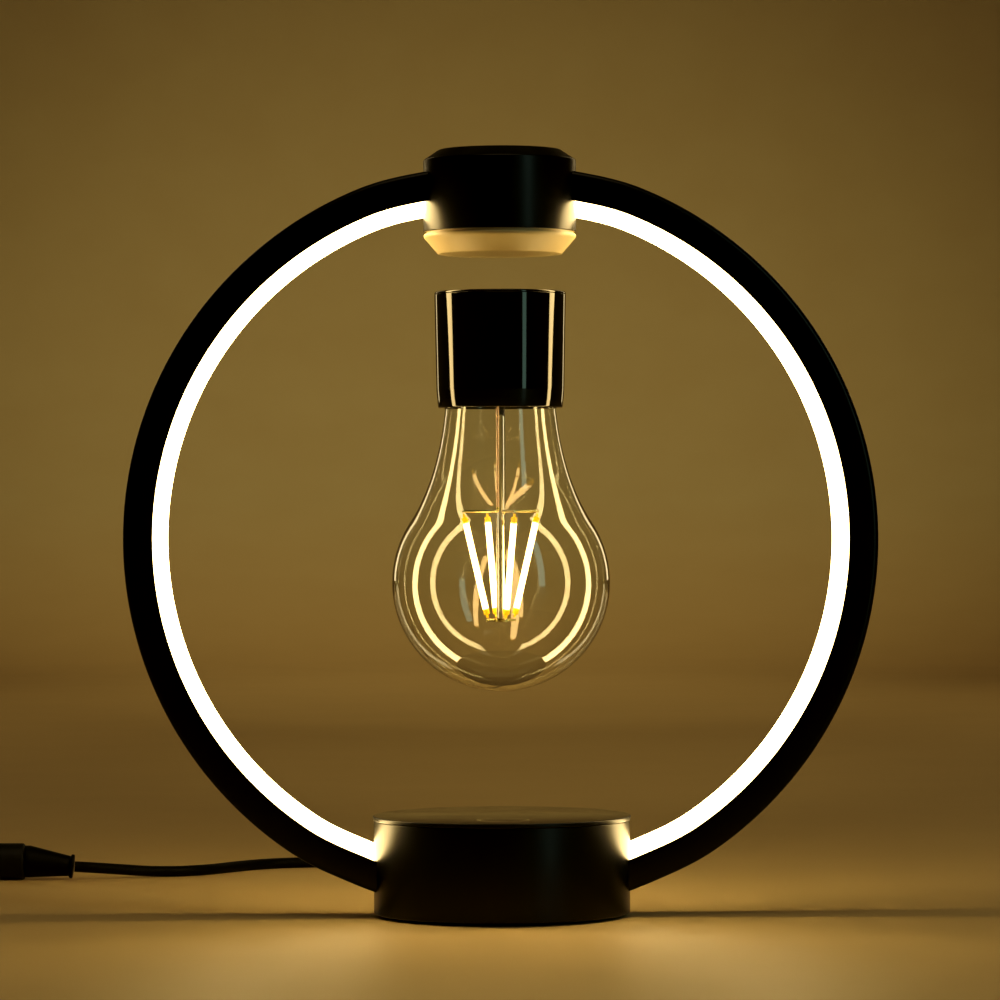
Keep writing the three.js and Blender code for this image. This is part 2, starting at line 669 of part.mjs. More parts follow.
// Conical cover: a rounded lip under a narrow seam, and a spigot that snaps into the housing.
function moduleCover() {
  const { radius, coverMouth, coverWall, coverHeight, lipRound, lipDrop, seamIn, floorEdge } = module;
  const lipTop = coverHeight - module.seamHeight;
  const spigot = module.innerRadius - fitGap;
  return lathe([
    [0, 0],
    [coverMouth - floorEdge, 0],
    [coverMouth, floorEdge],
    [radius - lipRound / 2, lipTop - lipDrop],
    [radius, lipTop - lipRound],
    [radius - lipRound / 2, lipTop],
    [radius - seamIn, lipTop],
    [radius - seamIn, coverHeight],
    [spigot, coverHeight],
    [spigot, coverHeight + module.spigotHeight],
    [spigot - coverWall, coverHeight + module.spigotHeight],
    [spigot - coverWall, coverHeight - lipDrop],
    [coverMouth - coverWall, coverWall],
    [0, coverWall],
  ], module.facets);
}

function coilBobbin(high) {
  const inner = magnet.coreRadius + fitGap;
  const tube = inner + magnet.bobbinWall;
  const { flangeRadius, flangeThickness } = magnet;
  return lathe([
    [inner, 0],
    [flangeRadius, 0],
    [flangeRadius, flangeThickness],
    [tube, flangeThickness],
    [tube, high - flangeThickness],
    [flangeRadius, high - flangeThickness],
    [flangeRadius, high],
    [inner, high],
  ], magnet.facets);
}

// The winding's outer layer shows its turns as rounded ribs over a plain core.
function coilWinding(high) {
  const inner = magnet.coreRadius + fitGap + magnet.bobbinWall + fitGap;
  const outer = magnet.flangeRadius - magnet.turnDepth;
  const pitch = high / magnet.turnCount;
  const profile = [[inner, 0], [outer - magnet.turnDepth, 0]];
  for (let i = 0; i < magnet.turnCount; i += 1) {
    profile.push([outer, (i + 1 / 2) * pitch], [outer - magnet.turnDepth, (i + 1) * pitch]);
  }
  profile.push([inner, high]);
  return lathe(profile, magnet.facets);
}

function flatRing(inner, outer, thickness, facets) {
  return lathe([[inner, 0], [outer, 0], [outer, thickness], [inner, thickness]], facets);
}

function hallSensorBoard() {
  const { sensorBoardRadius, sensorBoardThickness, sensorChip } = magnet;
  const disc = cylinder(sensorBoardRadius, 0, sensorBoardThickness, screw.facets * 2);
  return join(disc, standing(sensorChip, 0, 0, sensorBoardThickness));
}

function makeModule() {
  const parts = [named('module_shell', moduleShell(), paintBlack)];
  const stack = (name, geometry, look, low) => {
    const piece = named(name, geometry, look);
    piece.position.z = low;
    parts.push(piece);
  };
  const coilLow = module.coverBottom + module.coverWall + seatGap;
  const ferriteLow = coilLow + magnet.coilThickness + seatGap;
  const bobbinLow = ferriteLow + magnet.ferriteThickness + seatGap;
  const boardLow = module.deckUnder - module.boardDrop - seatGap - boards.thickness;
  const bobbinHeight = boardLow - seatGap - bobbinLow;
  const coilRadius = (module.coverMouth - module.coverWall) * magnet.coilShare;
  const windingHeight = bobbinHeight - 2 * (magnet.flangeThickness + seatGap);
  stack('module_cover', moduleCover(), creamPlastic, module.coverBottom);
  stack('hall_sensor_board', hallSensorBoard(), boardGreen, coilLow);
  const coil = flatRing(magnet.coilInner, coilRadius, magnet.coilThickness, magnet.facets);
  stack('transmitter_coil', coil, copper, coilLow);
  const ferrite = cylinder(coilRadius, 0, magnet.ferriteThickness, magnet.facets);
  stack('transmitter_ferrite', ferrite, ferriteGrey, ferriteLow);
  stack('magnet_core', cylinder(magnet.coreRadius, 0, bobbinHeight, magnet.facets), castIron, bobbinLow);
  stack('coil_bobbin', coilBobbin(bobbinHeight), nylonBlack, bobbinLow);
  stack('coil_winding', coilWinding(windingHeight), copper, bobbinLow + magnet.flangeThickness + seatGap);
  stack('module_board', moduleBoard(), boardGreen, boardLow);
  for (const [word, side] of Object.entries(sides)) {
    parts.push(named(`upper_ring_clamp_${word}`, upperClamp(side), nylonBlack));
    const fastener = named(`upper_ring_screw_${word}`, screwShape(screw.upperLength), steel);
    fastener.position.set(side * ring.upperScrewPlace, 0, upperClampFoot() - seatGap);
    parts.push(fastener);
  }
  return groupAt(0, 0, 0, ...parts);
}

function curvePoints(curve, steps) {
  return curve.getPoints(steps).map((point) => [point.x, point.y]);
}

// Half outline of the glass, from the open neck down to the pole, drawn inwards by the inset.
function glassOutline(inset, detail) {
  const { radius, flareAngle, capDrop, neckLip, neckRadius, neckRise, neckStraight } = bulb;
  const angle = THREE.MathUtils.degToRad(flareAngle);
  const round = radius - inset;
  const shoulder = new THREE.Vector2(round * Math.cos(angle), round * Math.sin(angle));
  const climb = new THREE.Vector2(-Math.sin(angle), Math.cos(angle)).multiplyScalar(bulb.shoulderPull);
  const lip = new THREE.Vector2(neckLip - inset, capDrop);
  const lean = new THREE.Vector2(bulb.lipLean, -bulb.lipPull);
  const neckFoot = new THREE.Vector2(neckRadius - inset, capDrop + neckRise - neckStraight);
  const half = neckFoot.clone().sub(lip).y / 2;
  const neck = new THREE.CubicBezierCurve(
    neckFoot,
    neckFoot.clone().setY(neckFoot.y - half),
    lip.clone().add(lean.clone().multiplyScalar(-half / bulb.lipPull)),
    lip,
  );
  const flare = new THREE.CubicBezierCurve(lip, lip.clone().add(lean), shoulder.clone().add(climb), shoulder);
  return [
    [neckRadius - inset, capDrop + neckRise],
    ...curvePoints(neck, Math.round(bulb.neckSteps * detail)),
    ...curvePoints(flare, Math.round(bulb.flareSteps * detail)).slice(1),
    ...arcPoints([0, 0], round, flareAngle, -90, Math.round(bulb.arcSteps * detail)).slice(1, -1),
    [0, -round],
  ];
}

function glassEnvelope() {
  return lathe([...glassOutline(0, 1), ...glassOutline(bulb.wall, bulb.insideShare).reverse()], bulb.facets);
}

// Stem: an open flare in the neck, a press that seals the two leads, and a solid rod with a round tip.
function glassStem() {
  const { rodRadius, rodBottom, pressRadius, pressTop, pressBottom, rodTop, flareWall, tipRound } = stem;
  const rim = bulb.neckRadius - bulb.wall - stem.flareGap;
  const top = bulb.capDrop + bulb.neckRise - fitGap;
  const half = (top - pressTop) / 2;
  const bell = (inset, edge) => curvePoints(new THREE.CubicBezierCurve(
    new THREE.Vector2(pressRadius - inset, pressTop + inset),
    new THREE.Vector2(pressRadius - inset, pressTop + inset + half),
    new THREE.Vector2(edge + inset - half, pressTop + inset + half),
    new THREE.Vector2(edge, top),
  ), stem.bellSteps);
  const body = lathe([
    [0, pressTop + flareWall],
    ...bell(flareWall, rim - flareWall * Math.SQRT2),
    ...bell(0, rim).reverse(),
    [pressRadius, pressBottom],
    [rodRadius, rodTop],
    [rodRadius, rodBottom + tipRound],
    [rodRadius - tipRound, rodBottom],
    [0, rodBottom],
  ], stem.facets);
  const holes = Object.values(sides).map((side) => {
    const hole = cylinder(filament.wireRadius + filament.leadGap, rodTop, top, filament.wireFacets);
    return hole.translate(...polar(side * filament.hookRadius, filament.leadTurnDegrees), 0);
  });
  return cut(body, ...holes);
}

function filamentPlace(index) {
  return filament.turnDegrees + index * 360 / filament.count;
}

// Lead wire that hooks round the stem, with an arm out to the top of each of its two light filaments.
function filamentCarrier(side, top) {
  const { wireRadius, wireFacets, armHeight, topPlace, turnDegrees, count, hookRadius } = filament;
  const at = (radius, degrees) => new THREE.Vector3(...polar(side * radius, degrees), armHeight);
  const lastDegrees = turnDegrees - 360 / count;
  const hook = [];
  for (let i = 0; i <= filament.hookSteps; i += 1) {
    const share = i / filament.hookSteps;
    hook.push(at(hookRadius, THREE.MathUtils.lerp(filament.leadTurnDegrees, lastDegrees, share)));
  }
  const wires = [rod(wireRadius, hook[0], hook[0].clone().setZ(top), wireFacets)];
  for (let i = 1; i < hook.length; i += 1) wires.push(rod(wireRadius, hook[i - 1], hook[i], wireFacets));
  for (const degrees of [turnDegrees, lastDegrees]) {
    wires.push(rod(wireRadius, at(hookRadius, degrees), at(topPlace + wireRadius, degrees), wireFacets));
  }
  return join(...wires);
}

// Collar on the stem's tip with one short wire for the lower end of each filament.
function anchorWires() {
  const { wireRadius, wireFacets, anchorHeight, anchorReach, hubWall, hubHeight, count } = filament;
  const inner = stem.rodRadius + fitGap;
  const hub = flatRing(inner, inner + hubWall, hubHeight, stem.facets);
  hub.translate(0, 0, anchorHeight - hubHeight / 2);
  const wires = [];
  for (let i = 0; i < count; i += 1) {
    const [fromX, fromY] = polar(inner + hubWall / 2, filamentPlace(i));
    const [x, y] = polar(anchorReach, filamentPlace(i));
    const from = new THREE.Vector3(fromX, fromY, anchorHeight);
    wires.push(rod(wireRadius, from, new THREE.Vector3(x, y, anchorHeight), wireFacets));
  }
  return join(hub, ...wires);
}

// Straight light filament: a coated bar with a thin pin at each end.
function filamentBar(length) {
  const { radius, wireRadius, endTaper } = filament;
  const pin = length * filament.pinShare;
  return lathe([
    [0, 0],
    [wireRadius, 0],
    [wireRadius, pin],
    [radius - endTaper, pin],
    [radius, pin + endTaper],
    [radius, length - pin - endTaper],
    [radius - endTaper, length - pin],
    [wireRadius, length - pin],
    [wireRadius, length],
    [0, length],
  ], filament.facets);
}

function makeFilaments() {
  const { topPlace, bottomPlace, topHeight, bottomHeight, count } = filament;
  const across = topPlace - bottomPlace;
  const high = topHeight - bottomHeight;
  const bar = filamentBar(Math.hypot(across, high));
  const parts = [];
  for (let i = 0; i < count; i += 1) {
    const piece = named(`light_filament_${i + 1}`, bar, phosphor);
    piece.rotation.y = Math.atan2(across, high);
    piece.position.set(bottomPlace, 0, bottomHeight);
    const spoke = groupAt(0, 0, 0, piece);
    spoke.rotation.z = THREE.MathUtils.degToRad(filamentPlace(i));
    parts.push(spoke);
  }
  return parts;
}

function capShell() {
  const { mouthRadius, bottomRadius, waistRadius, topRadius, waistHeight, softHeight, edgeRound, wall } = cap;
  return lathe([
    [mouthRadius, 0],
    [bottomRadius - edgeRound, 0],
    ...arcPoints([bottomRadius - edgeRound, edgeRound], edgeRound, -90, 0, cap.roundSteps).slice(1),
    [(bottomRadius + waistRadius) / 2, softHeight],
    [waistRadius, waistHeight],
    [topRadius, cap.lidSeat],
    [topRadius - wall, cap.lidSeat],
    [waistRadius - wall, waistHeight],
    [mouthRadius, wall],
  ], cap.facets);
}

// Lid with a rounded rim and a spigot ring that centres it in the cap.
function capLid() {
  const { topRadius, wall, lidHeight, lidRound, spigotHeight } = cap;
  const spigot = topRadius - wall - fitGap;
  return lathe([
    [0, 0],
    [spigot - wall, 0],
    [spigot - wall, -spigotHeight],
    [spigot, -spigotHeight],
    [spigot, 0],
    [topRadius, 0],
    ...arcPoints([topRadius - lidRound, lidHeight - lidRound], lidRound, 0, 90, cap.roundSteps),
    [0, lidHeight],
  ], cap.facets);
}

// Cup that holds the magnet, with a flange to the cap's wall and stakes for the receiver board.
function magnetHolder() {
  const inner = receiver.magnetRadius + fitGap;
  const outer = inner + receiver.holderWall;
  const { holderFloor, magnetHeight, postHeight, pinLength } = receiver;
  const high = holderFloor + magnetHeight;
  const cup = lathe([
    [0, 0],
    [cap.innerRadius, 0],
    [cap.innerRadius, holderFloor],
    [outer, holderFloor],
    [outer, high],
    [inner, high],
    [inner, holderFloor],
    [0, holderFloor],
  ], magnet.facets);
  const place = receiver.boardRadius - boards.postRadius;
  const posts = [-1, 1].map((side) => stake(postHeight, pinLength).translate(0, side * place, 0));
  return join(cup, ...posts);
}

function floatMagnet() {
  const { magnetRadius, magnetHeight, magnetEdge } = receiver;
  return lathe([
    [0, 0],
    [magnetRadius - magnetEdge, 0],
    [magnetRadius, magnetEdge],
    [magnetRadius, magnetHeight - magnetEdge],
    [magnetRadius - magnetEdge, magnetHeight],
    [0, magnetHeight],
  ], magnet.facets);
}

function receiverBoard() {
  const radius = receiver.boardRadius;
  const deep = receiver.boardThickness;
  const chips = [-1, 1].map((side) => standing(boards.chip, side * radius / 2, 0, deep));
  const holes = [-1, 1].map((side) => {
    const hole = cylinder(boards.pinRadius + fitGap, -deep, 2 * deep, screw.facets);
    return hole.translate(0, side * (radius - boards.postRadius), 0);
  });
  return cut(join(cylinder(radius, 0, deep, boards.facets), ...chips), ...holes);
}

// Collar round the glass neck, with a lip over its rim, that centres the glass in the cap.
function neckCollar() {
  const inner = bulb.neckRadius + fitGap;
  const { collarHeight, collarLip, collarWall } = receiver;
  return lathe([
    [inner, -collarHeight],
    [cap.innerRadius, -collarHeight],
    [cap.innerRadius, seatGap + collarLip],
    [inner - collarWall, seatGap + collarLip],
    [inner - collarWall, seatGap],
    [inner, seatGap],
  ], magnet.facets);
}

function makeBulb() {
  const capLow = bulb.capDrop;
  const parts = [];
  const stack = (name, geometry, look, low) => {
    const piece = named(name, geometry, look);
    piece.position.z = low;
    parts.push(piece);
    return low;
  };
  const { coilInner, coilThickness, magnetRadius, magnetHeight, holderFloor } = receiver;
  const lidLow = stack('cap_lid', capLid(), glossBlack, capLow + cap.lidSeat + seatGap);
  stack('cap_shell', capShell(), glossBlack, capLow);
  const coil = flatRing(coilInner, magnetRadius + cap.wall, coilThickness, magnet.facets);
  const coilLow = stack('receiver_coil', coil, copper, lidLow - seatGap - coilThickness);
  const magnetLow = stack('float_magnet', floatMagnet(), nickel, coilLow - fitGap - magnetHeight);
  const holderLow = stack('magnet_holder', magnetHolder(), nylonBlack, magnetLow - fitGap - holderFloor);
  const boardTop = holderLow - receiver.postHeight - seatGap;
  const boardLow = stack('receiver_board', receiverBoard(), boardGreen, boardTop - receiver.boardThickness);
  stack('neck_collar', neckCollar(), nylonBlack, capLow + bulb.neckRise);
  stack('glass_envelope', glassEnvelope(), clearGlass, 0);
  stack('glass_stem', glassStem(), clearGlass, 0);
  for (const [word, side] of Object.entries(sides)) {
    stack(`filament_carrier_${word}`, filamentCarrier(side, boardLow - seatGap), brass, 0);
  }
  stack('anchor_wires', anchorWires(), brass, 0);
  return groupAt(0, 0, bulb.centreHeight, ...parts, ...makeFilaments());
}

// Gland in the rear wall: an inner flange, a neck, an outer flange and a tapered tail.
function cordGland() {
  const { glandFlange, glandFlangeThickness, glandNeck, glandTail, glandTailRadius } = cord;
  const inside = base.innerRadius - fitGap - cord.glandSettle;
  const face = cord.glandFace;
  return lathe([
    [0, inside - glandFlangeThickness],
    [glandFlange, inside - glandFlangeThickness],
    [glandFlange, inside],
    [glandNeck, inside],
    [glandNeck, face],
    [glandFlange, face],
    [glandFlange, face + glandFlangeThickness],
    [glandNeck, face + glandFlangeThickness],
    [glandTailRadius, face + glandFlangeThickness + glandTail],
    [0, face + glandFlangeThickness + glandTail],
  ], cord.glandFacets);
}

function supplyCord() {
  const smooth = new THREE.CatmullRomCurve3(cordRoute.map((point) => new THREE.Vector3(...point)));
  const laid = smooth.getSpacedPoints(cord.steps);
  laid.forEach((point) => point.setZ(Math.max(point.z, cord.restHeight)));
  const section = new THREE.Shape();
  for (let i = 0; i < cord.facets; i += 1) {
    const [x, y] = polar(cord.radius, i * 360 / cord.facets);
    if (i === 0) section.moveTo(x, y);
    else section.lineTo(x, y);
  }
  const extrudePath = new THREE.CatmullRomCurve3(laid);
  return weld(new THREE.ExtrudeGeometry(section, { steps: cord.steps, extrudePath }));
}

// Boot with a root that sits square on the socket, then a drooping taper with a collar at its end.
function cordBoot() {
  const { bootWide, bootNarrow, bootCollar, bootCollarLength, bootLength, bootRoot, socketFacets } = cord;
  const taper = lathe([
    [0, 0],
    [bootWide, 0],
    [bootNarrow, bootLength - bootCollarLength],
    [bootCollar, bootLength - bootCollarLength],
    [bootCollar, bootLength],
    [0, bootLength],
  ], socketFacets);
  return join(cylinder(bootWide, -bootRoot / 2, bootRoot / 2, socketFacets), taper.rotateY(bootDroop));
}

// In-line socket with rounded edges and a blind jack hole in its far end.
function cordSocket() {
  const { socketRadius, socketLength, socketEdge, jackRadius, jackDepth } = cord;
  return lathe([
    [0, 0],
    [socketRadius - socketEdge, 0],
    [socketRadius, socketEdge],
    [socketRadius, socketLength - socketEdge],
    [socketRadius - socketEdge, socketLength],
    [jackRadius, socketLength],
    [jackRadius, socketLength - jackDepth],
    [0, socketLength - jackDepth],
  ], cord.socketFacets);
}

function makeCord() {
  const gland = named('cord_gland', cordGland(), rubberBlack);
  gland.rotation.x = -Math.PI / 2;
  gland.position.z = base.cordHoleHeight;
  const tube = named('supply_cord', supplyCord(), rubberBlack);
  const boot = named('cord_boot', cordBoot(), rubberBlack);
  boot.rotation.y = Math.PI / 2;
  boot.position.copy(bootEnd).addScaledVector(bootWay, -cord.bootLength);
  const socket = named('cord_socket', cordSocket(), nylonBlack);
  socket.rotation.y = -Math.PI / 2;
  socket.position.copy(boot.position);
  socket.position.x -= cord.bootRoot / 2 + seatGap;
  const pin = named('socket_pin', cylinder(cord.pinRadius, 0, cord.pinLength, screw.facets), nickel);
  pin.rotation.y = -Math.PI / 2;
  pin.position.copy(socket.position);
  pin.position.x -= cord.socketLength - cord.jackDepth + seatGap;
  return groupAt(0, 0, 0, gland, tube, boot, socket, pin);
}

const lamp = new THREE.Group();
lamp.name = 'levitating_lamp';
lamp.add(makeBase(), makeRing(), makeModule(), makeBulb(), makeCord());

export default lamp;
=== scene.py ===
# Levitating lamp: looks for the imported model. Lengths in the dictionaries are millimetres.
import math
import bmesh
import bpy
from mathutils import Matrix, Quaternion, Vector


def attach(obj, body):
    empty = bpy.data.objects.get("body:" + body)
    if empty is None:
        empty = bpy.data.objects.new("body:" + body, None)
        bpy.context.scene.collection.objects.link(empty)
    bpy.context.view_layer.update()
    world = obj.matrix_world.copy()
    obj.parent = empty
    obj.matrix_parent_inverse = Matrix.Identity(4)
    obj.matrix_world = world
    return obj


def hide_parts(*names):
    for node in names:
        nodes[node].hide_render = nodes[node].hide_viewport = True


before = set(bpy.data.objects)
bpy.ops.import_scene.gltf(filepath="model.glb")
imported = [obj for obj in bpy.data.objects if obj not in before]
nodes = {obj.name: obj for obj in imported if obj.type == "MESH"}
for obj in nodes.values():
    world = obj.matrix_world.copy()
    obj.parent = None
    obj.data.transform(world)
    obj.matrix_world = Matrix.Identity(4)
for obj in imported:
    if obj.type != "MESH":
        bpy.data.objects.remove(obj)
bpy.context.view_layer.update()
mm = 0.001
sideWords = {"left": -1, "right": 1}


# Camera: level with the lamp's middle, a long lens from 1.2 m away
cameraView = {
    "distance": 1210, "swing": -1.25, "height": 112, "aimHeight": 114.2, "aimSide": -0.2,
    "focal": 158.4, "sensor": 36, "roll": -0.2,
}


def placeCamera(view):
    swing = math.radians(view["swing"])
    away = view["distance"] * mm
    spot = Vector((away * math.sin(swing), -away * math.cos(swing), view["height"] * mm))
    aim = Vector((view["aimSide"] * mm, 0, view["aimHeight"] * mm))
    data = bpy.data.cameras.new("lampCamera")
    data.lens = view["focal"]
    data.sensor_width = view["sensor"]
    camera = bpy.data.objects.new("lampCamera", data)
    camera.location = spot
    aimed = (aim - spot).to_track_quat("-Z", "Y") @ Quaternion((0, 0, 1), math.radians(view["roll"]))
    camera.rotation_euler = aimed.to_euler()
    bpy.context.scene.collection.objects.link(camera)
    bpy.context.scene.camera = camera


placeCamera(cameraView)
print("camera placed")


# Material helpers
def linearColour(hexText):
    values = [int(hexText[i:i + 2], 16) / 255 for i in (1, 3, 5)]
    linear = [v / 12.92 if v <= 0.04045 else ((v + 0.055) / 1.055) ** 2.4 for v in values]
    return (*linear, 1.0)


def addNode(material, kind, settings=None, values=None, links=None):
    node = material.node_tree.nodes.new(kind)
    for key, value in (settings or {}).items():
        setattr(node, key, value)
    for key, value in (values or {}).items():
        node.inputs[key].default_value = value
    for key, socket in (links or {}).items():
        material.node_tree.links.new(socket, node.inputs[key])
    return node


def startMaterial(name, colour, values):
    material = bpy.data.materials.new(name)
    material.use_nodes = True
    shader = material.node_tree.nodes["Principled BSDF"]
    shader.inputs["Base Color"].default_value = linearColour(colour)
    for key, value in values.items():
        shader.inputs[key].default_value = value
    material.diffuse_color = linearColour(colour)
    return material, shader


def cloudyPattern(material, sizeMm, detail=2.0, roughness=0.5):
    # soft spots about sizeMm across, in the piece's own space
    place = addNode(material, "ShaderNodeTexCoord")
    noise = addNode(material, "ShaderNodeTexNoise",
                    values={"Scale": 1 / (sizeMm * mm), "Detail": detail, "Roughness": roughness},
                    links={"Vector": place.outputs["Object"]})
    return noise.outputs["Fac"]


patternLow, patternHigh = 0.3, 0.7  # nearly all of a cloudy pattern lies between these


def varyFinish(material, shader, pattern, colours=None, rough=None, relief=None, paints="Base Color"):
    # one pattern varies the finish: two colours, two roughnesses, and a relief as (depth in mm, strength)
    links = material.node_tree.links
    if colours:
        paint = addNode(material, "ShaderNodeMix", settings={"data_type": "RGBA"},
                        values={6: linearColour(colours[0]), 7: linearColour(colours[1])},
                        links={"Factor": pattern})
        links.new(paint.outputs[2], shader.inputs[paints])
    if rough:
        polish = addNode(material, "ShaderNodeMapRange",
                         values={"From Min": patternLow, "From Max": patternHigh,
                                 "To Min": rough[0], "To Max": rough[1]},
                         links={"Value": pattern})
        links.new(polish.outputs["Result"], shader.inputs["Roughness"])
    if relief:
        depth, strength = relief
        bumps = addNode(material, "ShaderNodeBump", values={"Strength": strength, "Distance": depth * mm},
                        links={"Height": pattern})
        links.new(bumps.outputs["Normal"], shader.inputs["Normal"])


# Satin powder coat on the base, ring and module: baked polyester, faint orange peel, soft window glow
def powderCoat():
    material, shader = startMaterial("satinPowderCoat", "#050505",
                                     {"Roughness": 0.31, "IOR": 1.45, "Specular IOR Level": 0.32})
    varyFinish(material, shader, cloudyPattern(material, 14), ("#040404", "#070706"), rough=(0.285, 0.34))
    varyFinish(material, shader, cloudyPattern(material, 0.45, 3.0), relief=(0.012, 0.6))
    return material


# Top disc: the same coat rubbed finer, so it mirrors more, with a plain printed ring over the touch key
touchMark = {"place": -19.0, "radius": 6.8, "line": 0.8, "coat": "#070706", "print": "#a39b84"}


def touchCoat(mark):
    material, shader = startMaterial("fineSatinCoat", mark["coat"], {"Roughness": 0.13, "IOR": 1.45})
    place = addNode(material, "ShaderNodeTexCoord")
    middle = addNode(material, "ShaderNodeVectorMath", settings={"operation": "SUBTRACT"},
                     values={1: (0, mark["place"] * mm, 0)}, links={0: place.outputs["Object"]})
    flat = addNode(material, "ShaderNodeVectorMath", settings={"operation": "MULTIPLY"},
                   values={1: (1, 1, 0)}, links={0: middle.outputs["Vector"]})
    reach = addNode(material, "ShaderNodeVectorMath", settings={"operation": "LENGTH"},
                    links={0: flat.outputs["Vector"]})
    onLine = addNode(material, "ShaderNodeMath", settings={"operation": "COMPARE"},
                     values={1: mark["radius"] * mm, 2: mark["line"] / 2 * mm},
                     links={0: reach.outputs["Value"]})
    varyFinish(material, shader, onLine.outputs["Value"], (mark["coat"], mark["print"]))
    varyFinish(material, shader, cloudyPattern(material, 9), rough=(0.11, 0.16))
    varyFinish(material, shader, cloudyPattern(material, 0.3), relief=(0.003, 0.5))
    return material


# Polished ABS, piano black: mirror moulded, so it shows the lit arcs as sharp bright bands
def pianoBlack():
    material, shader = startMaterial("polishedAbs", "#020202", {"Roughness": 0.05, "IOR": 1.5})
    varyFinish(material, shader, cloudyPattern(material, 5, 4.0, 0.6), rough=(0.04, 0.075))
    varyFinish(material, shader, cloudyPattern(material, 8, 1.0), relief=(0.01, 0.25))
    return material


# Extruded opal PMMA over the light strip: an even band of warm white, as its dome hides the chips
opalGlow = {"strength": 15.0, "cooler": "#ffdc94", "warmer": "#ffd88c"}


def opalLit(glow):
    material, shader = startMaterial("opalAcrylicLit", "#fff3dd",
                                     {"Roughness": 0.35, "IOR": 1.49, "Emission Strength": glow["strength"]})
    varyFinish(material, shader, cloudyPattern(material, 22, 1.0), (glow["cooler"], glow["warmer"]),
               paints="Emission Color")
    varyFinish(material, shader, cloudyPattern(material, 0.6, 1.0), relief=(0.01, 0.3))
    return material


# Moulded polycarbonate cover, off-white: its fine spark texture and body take up the glow softly
def creamShell():
    material, shader = startMaterial("offWhitePolycarbonate", "#e0cb9c",
                                     {"Roughness": 0.42, "IOR": 1.58, "Subsurface Weight": 0.08,
                                      "Subsurface Radius": (0.004, 0.003, 0.002)})
    varyFinish(material, shader, cloudyPattern(material, 7), ("#dbc594", "#e5d1a4"), rough=(0.38, 0.46))
    varyFinish(material, shader, cloudyPattern(material, 0.25), relief=(0.01, 0.5))
    return material


# Blown soda-lime glass, thin walled: the slight waves of blowing bend the mirrored arcs a little
def blownGlass():
    material, shader = startMaterial("blownGlass", "#fdfffd",
                                     {"Roughness": 0.0, "IOR": 1.46, "Transmission Weight": 1.0})
    varyFinish(material, shader, cloudyPattern(material, 16, 1.0), relief=(0.05, 0.25))
    return material


# Drawn and pressed lead-free stem glass: clearer and straighter than the envelope, faintly milky inside
def drawnGlass():
    material, shader = startMaterial("drawnStemGlass", "#fbfffb",
                                     {"Roughness": 0.0, "IOR": 1.5, "Transmission Weight": 1.0})
    varyFinish(material, shader, cloudyPattern(material, 3), rough=(0.0, 0.02))
    return material


# Light filament: chips under a moulded yellow phosphor silicone; the ends past the chips only glow amber
filamentLook = {
    "litShare": 0.845, "strength": 12.5, "endStrength": 1.0, "fade": 0.5,
    "chipStep": 0.9, "chipDip": 0.92, "chipRise": (0.3, 0.7), "end": "#ffab10", "lit": "#ffcb7c",
}


def phosphorBar(look, lengthMm):
    material, shader = startMaterial("phosphorSilicone", "#ffd92e", {"Roughness": 0.45, "IOR": 1.42})
    place = addNode(material, "ShaderNodeTexCoord")
    along = addNode(material, "ShaderNodeSeparateXYZ", links={"Vector": place.outputs["Object"]})
    fromMiddle = addNode(material, "ShaderNodeMath", settings={"operation": "ABSOLUTE"},
                         links={0: along.outputs["Z"]})
    edge = lengthMm * look["litShare"] / 2 * mm
    lit = addNode(material, "ShaderNodeMapRange",
                  values={"From Min": edge, "From Max": edge - look["fade"] * mm},
                  links={"Value": fromMiddle.outputs["Value"]})
    phase = addNode(material, "ShaderNodeMath", settings={"operation": "MULTIPLY"},
                    values={1: 2 * math.pi / (look["chipStep"] * mm)}, links={0: along.outputs["Z"]})
    wave = addNode(material, "ShaderNodeMath", settings={"operation": "SINE"},
                   links={0: phase.outputs["Value"]})
    low, high = look["chipRise"]
    chips = addNode(material, "ShaderNodeMapRange",
                    values={"From Min": low, "From Max": high, "To Min": look["chipDip"]},
                    links={"Value": wave.outputs["Value"]})
    glow = addNode(material, "ShaderNodeMath", settings={"operation": "MULTIPLY"},
                   links={0: lit.outputs["Result"], 1: chips.outputs["Result"]})
    strength = addNode(material, "ShaderNodeMapRange",
                       values={"To Min": look["endStrength"], "To Max": look["strength"]},
                       links={"Value": glow.outputs["Value"]})
    material.node_tree.links.new(strength.outputs["Result"], shader.inputs["Emission Strength"])
    varyFinish(material, shader, lit.outputs["Result"], (look["end"], look["lit"]), paints="Emission Color")
    varyFinish(material, shader, cloudyPattern(material, 0.5), ("#ffd21e", "#ffe03c"))
    return material


# Bright drawn brass wire with clean glints; the leads above the arms are copper-clad and pinker
brassLook = {"leadFrom": 112.2, "wire": ("#d8ca84", "#e2d694"), "lead": "#f0cdb8"}


def drawnBrass(look):
    material, shader = startMaterial("drawnBrassWire", "#ddd08a", {"Metallic": 1.0, "Roughness": 0.3})
    grain = cloudyPattern(material, 2.5, 1.0)
    varyFinish(material, shader, grain, rough=(0.27, 0.33))
    place = addNode(material, "ShaderNodeTexCoord")
    height = addNode(material, "ShaderNodeSeparateXYZ", links={"Vector": place.outputs["Object"]})
    isLead = addNode(material, "ShaderNodeMath", settings={"operation": "GREATER_THAN"},
                     values={1: look["leadFrom"] * mm}, links={0: height.outputs["Z"]})
    wire = addNode(material, "ShaderNodeMix", settings={"data_type": "RGBA"},
                   values={6: linearColour(look["wire"][0]), 7: linearColour(look["wire"][1])},
                   links={"Factor": grain})
    metal = addNode(material, "ShaderNodeMix", settings={"data_type": "RGBA"},
                    values={7: linearColour(look["lead"])},
                    links={"Factor": isLead.outputs["Value"], 6: wire.outputs[2]})
    material.node_tree.links.new(metal.outputs[2], shader.inputs["Base Color"])
    return material


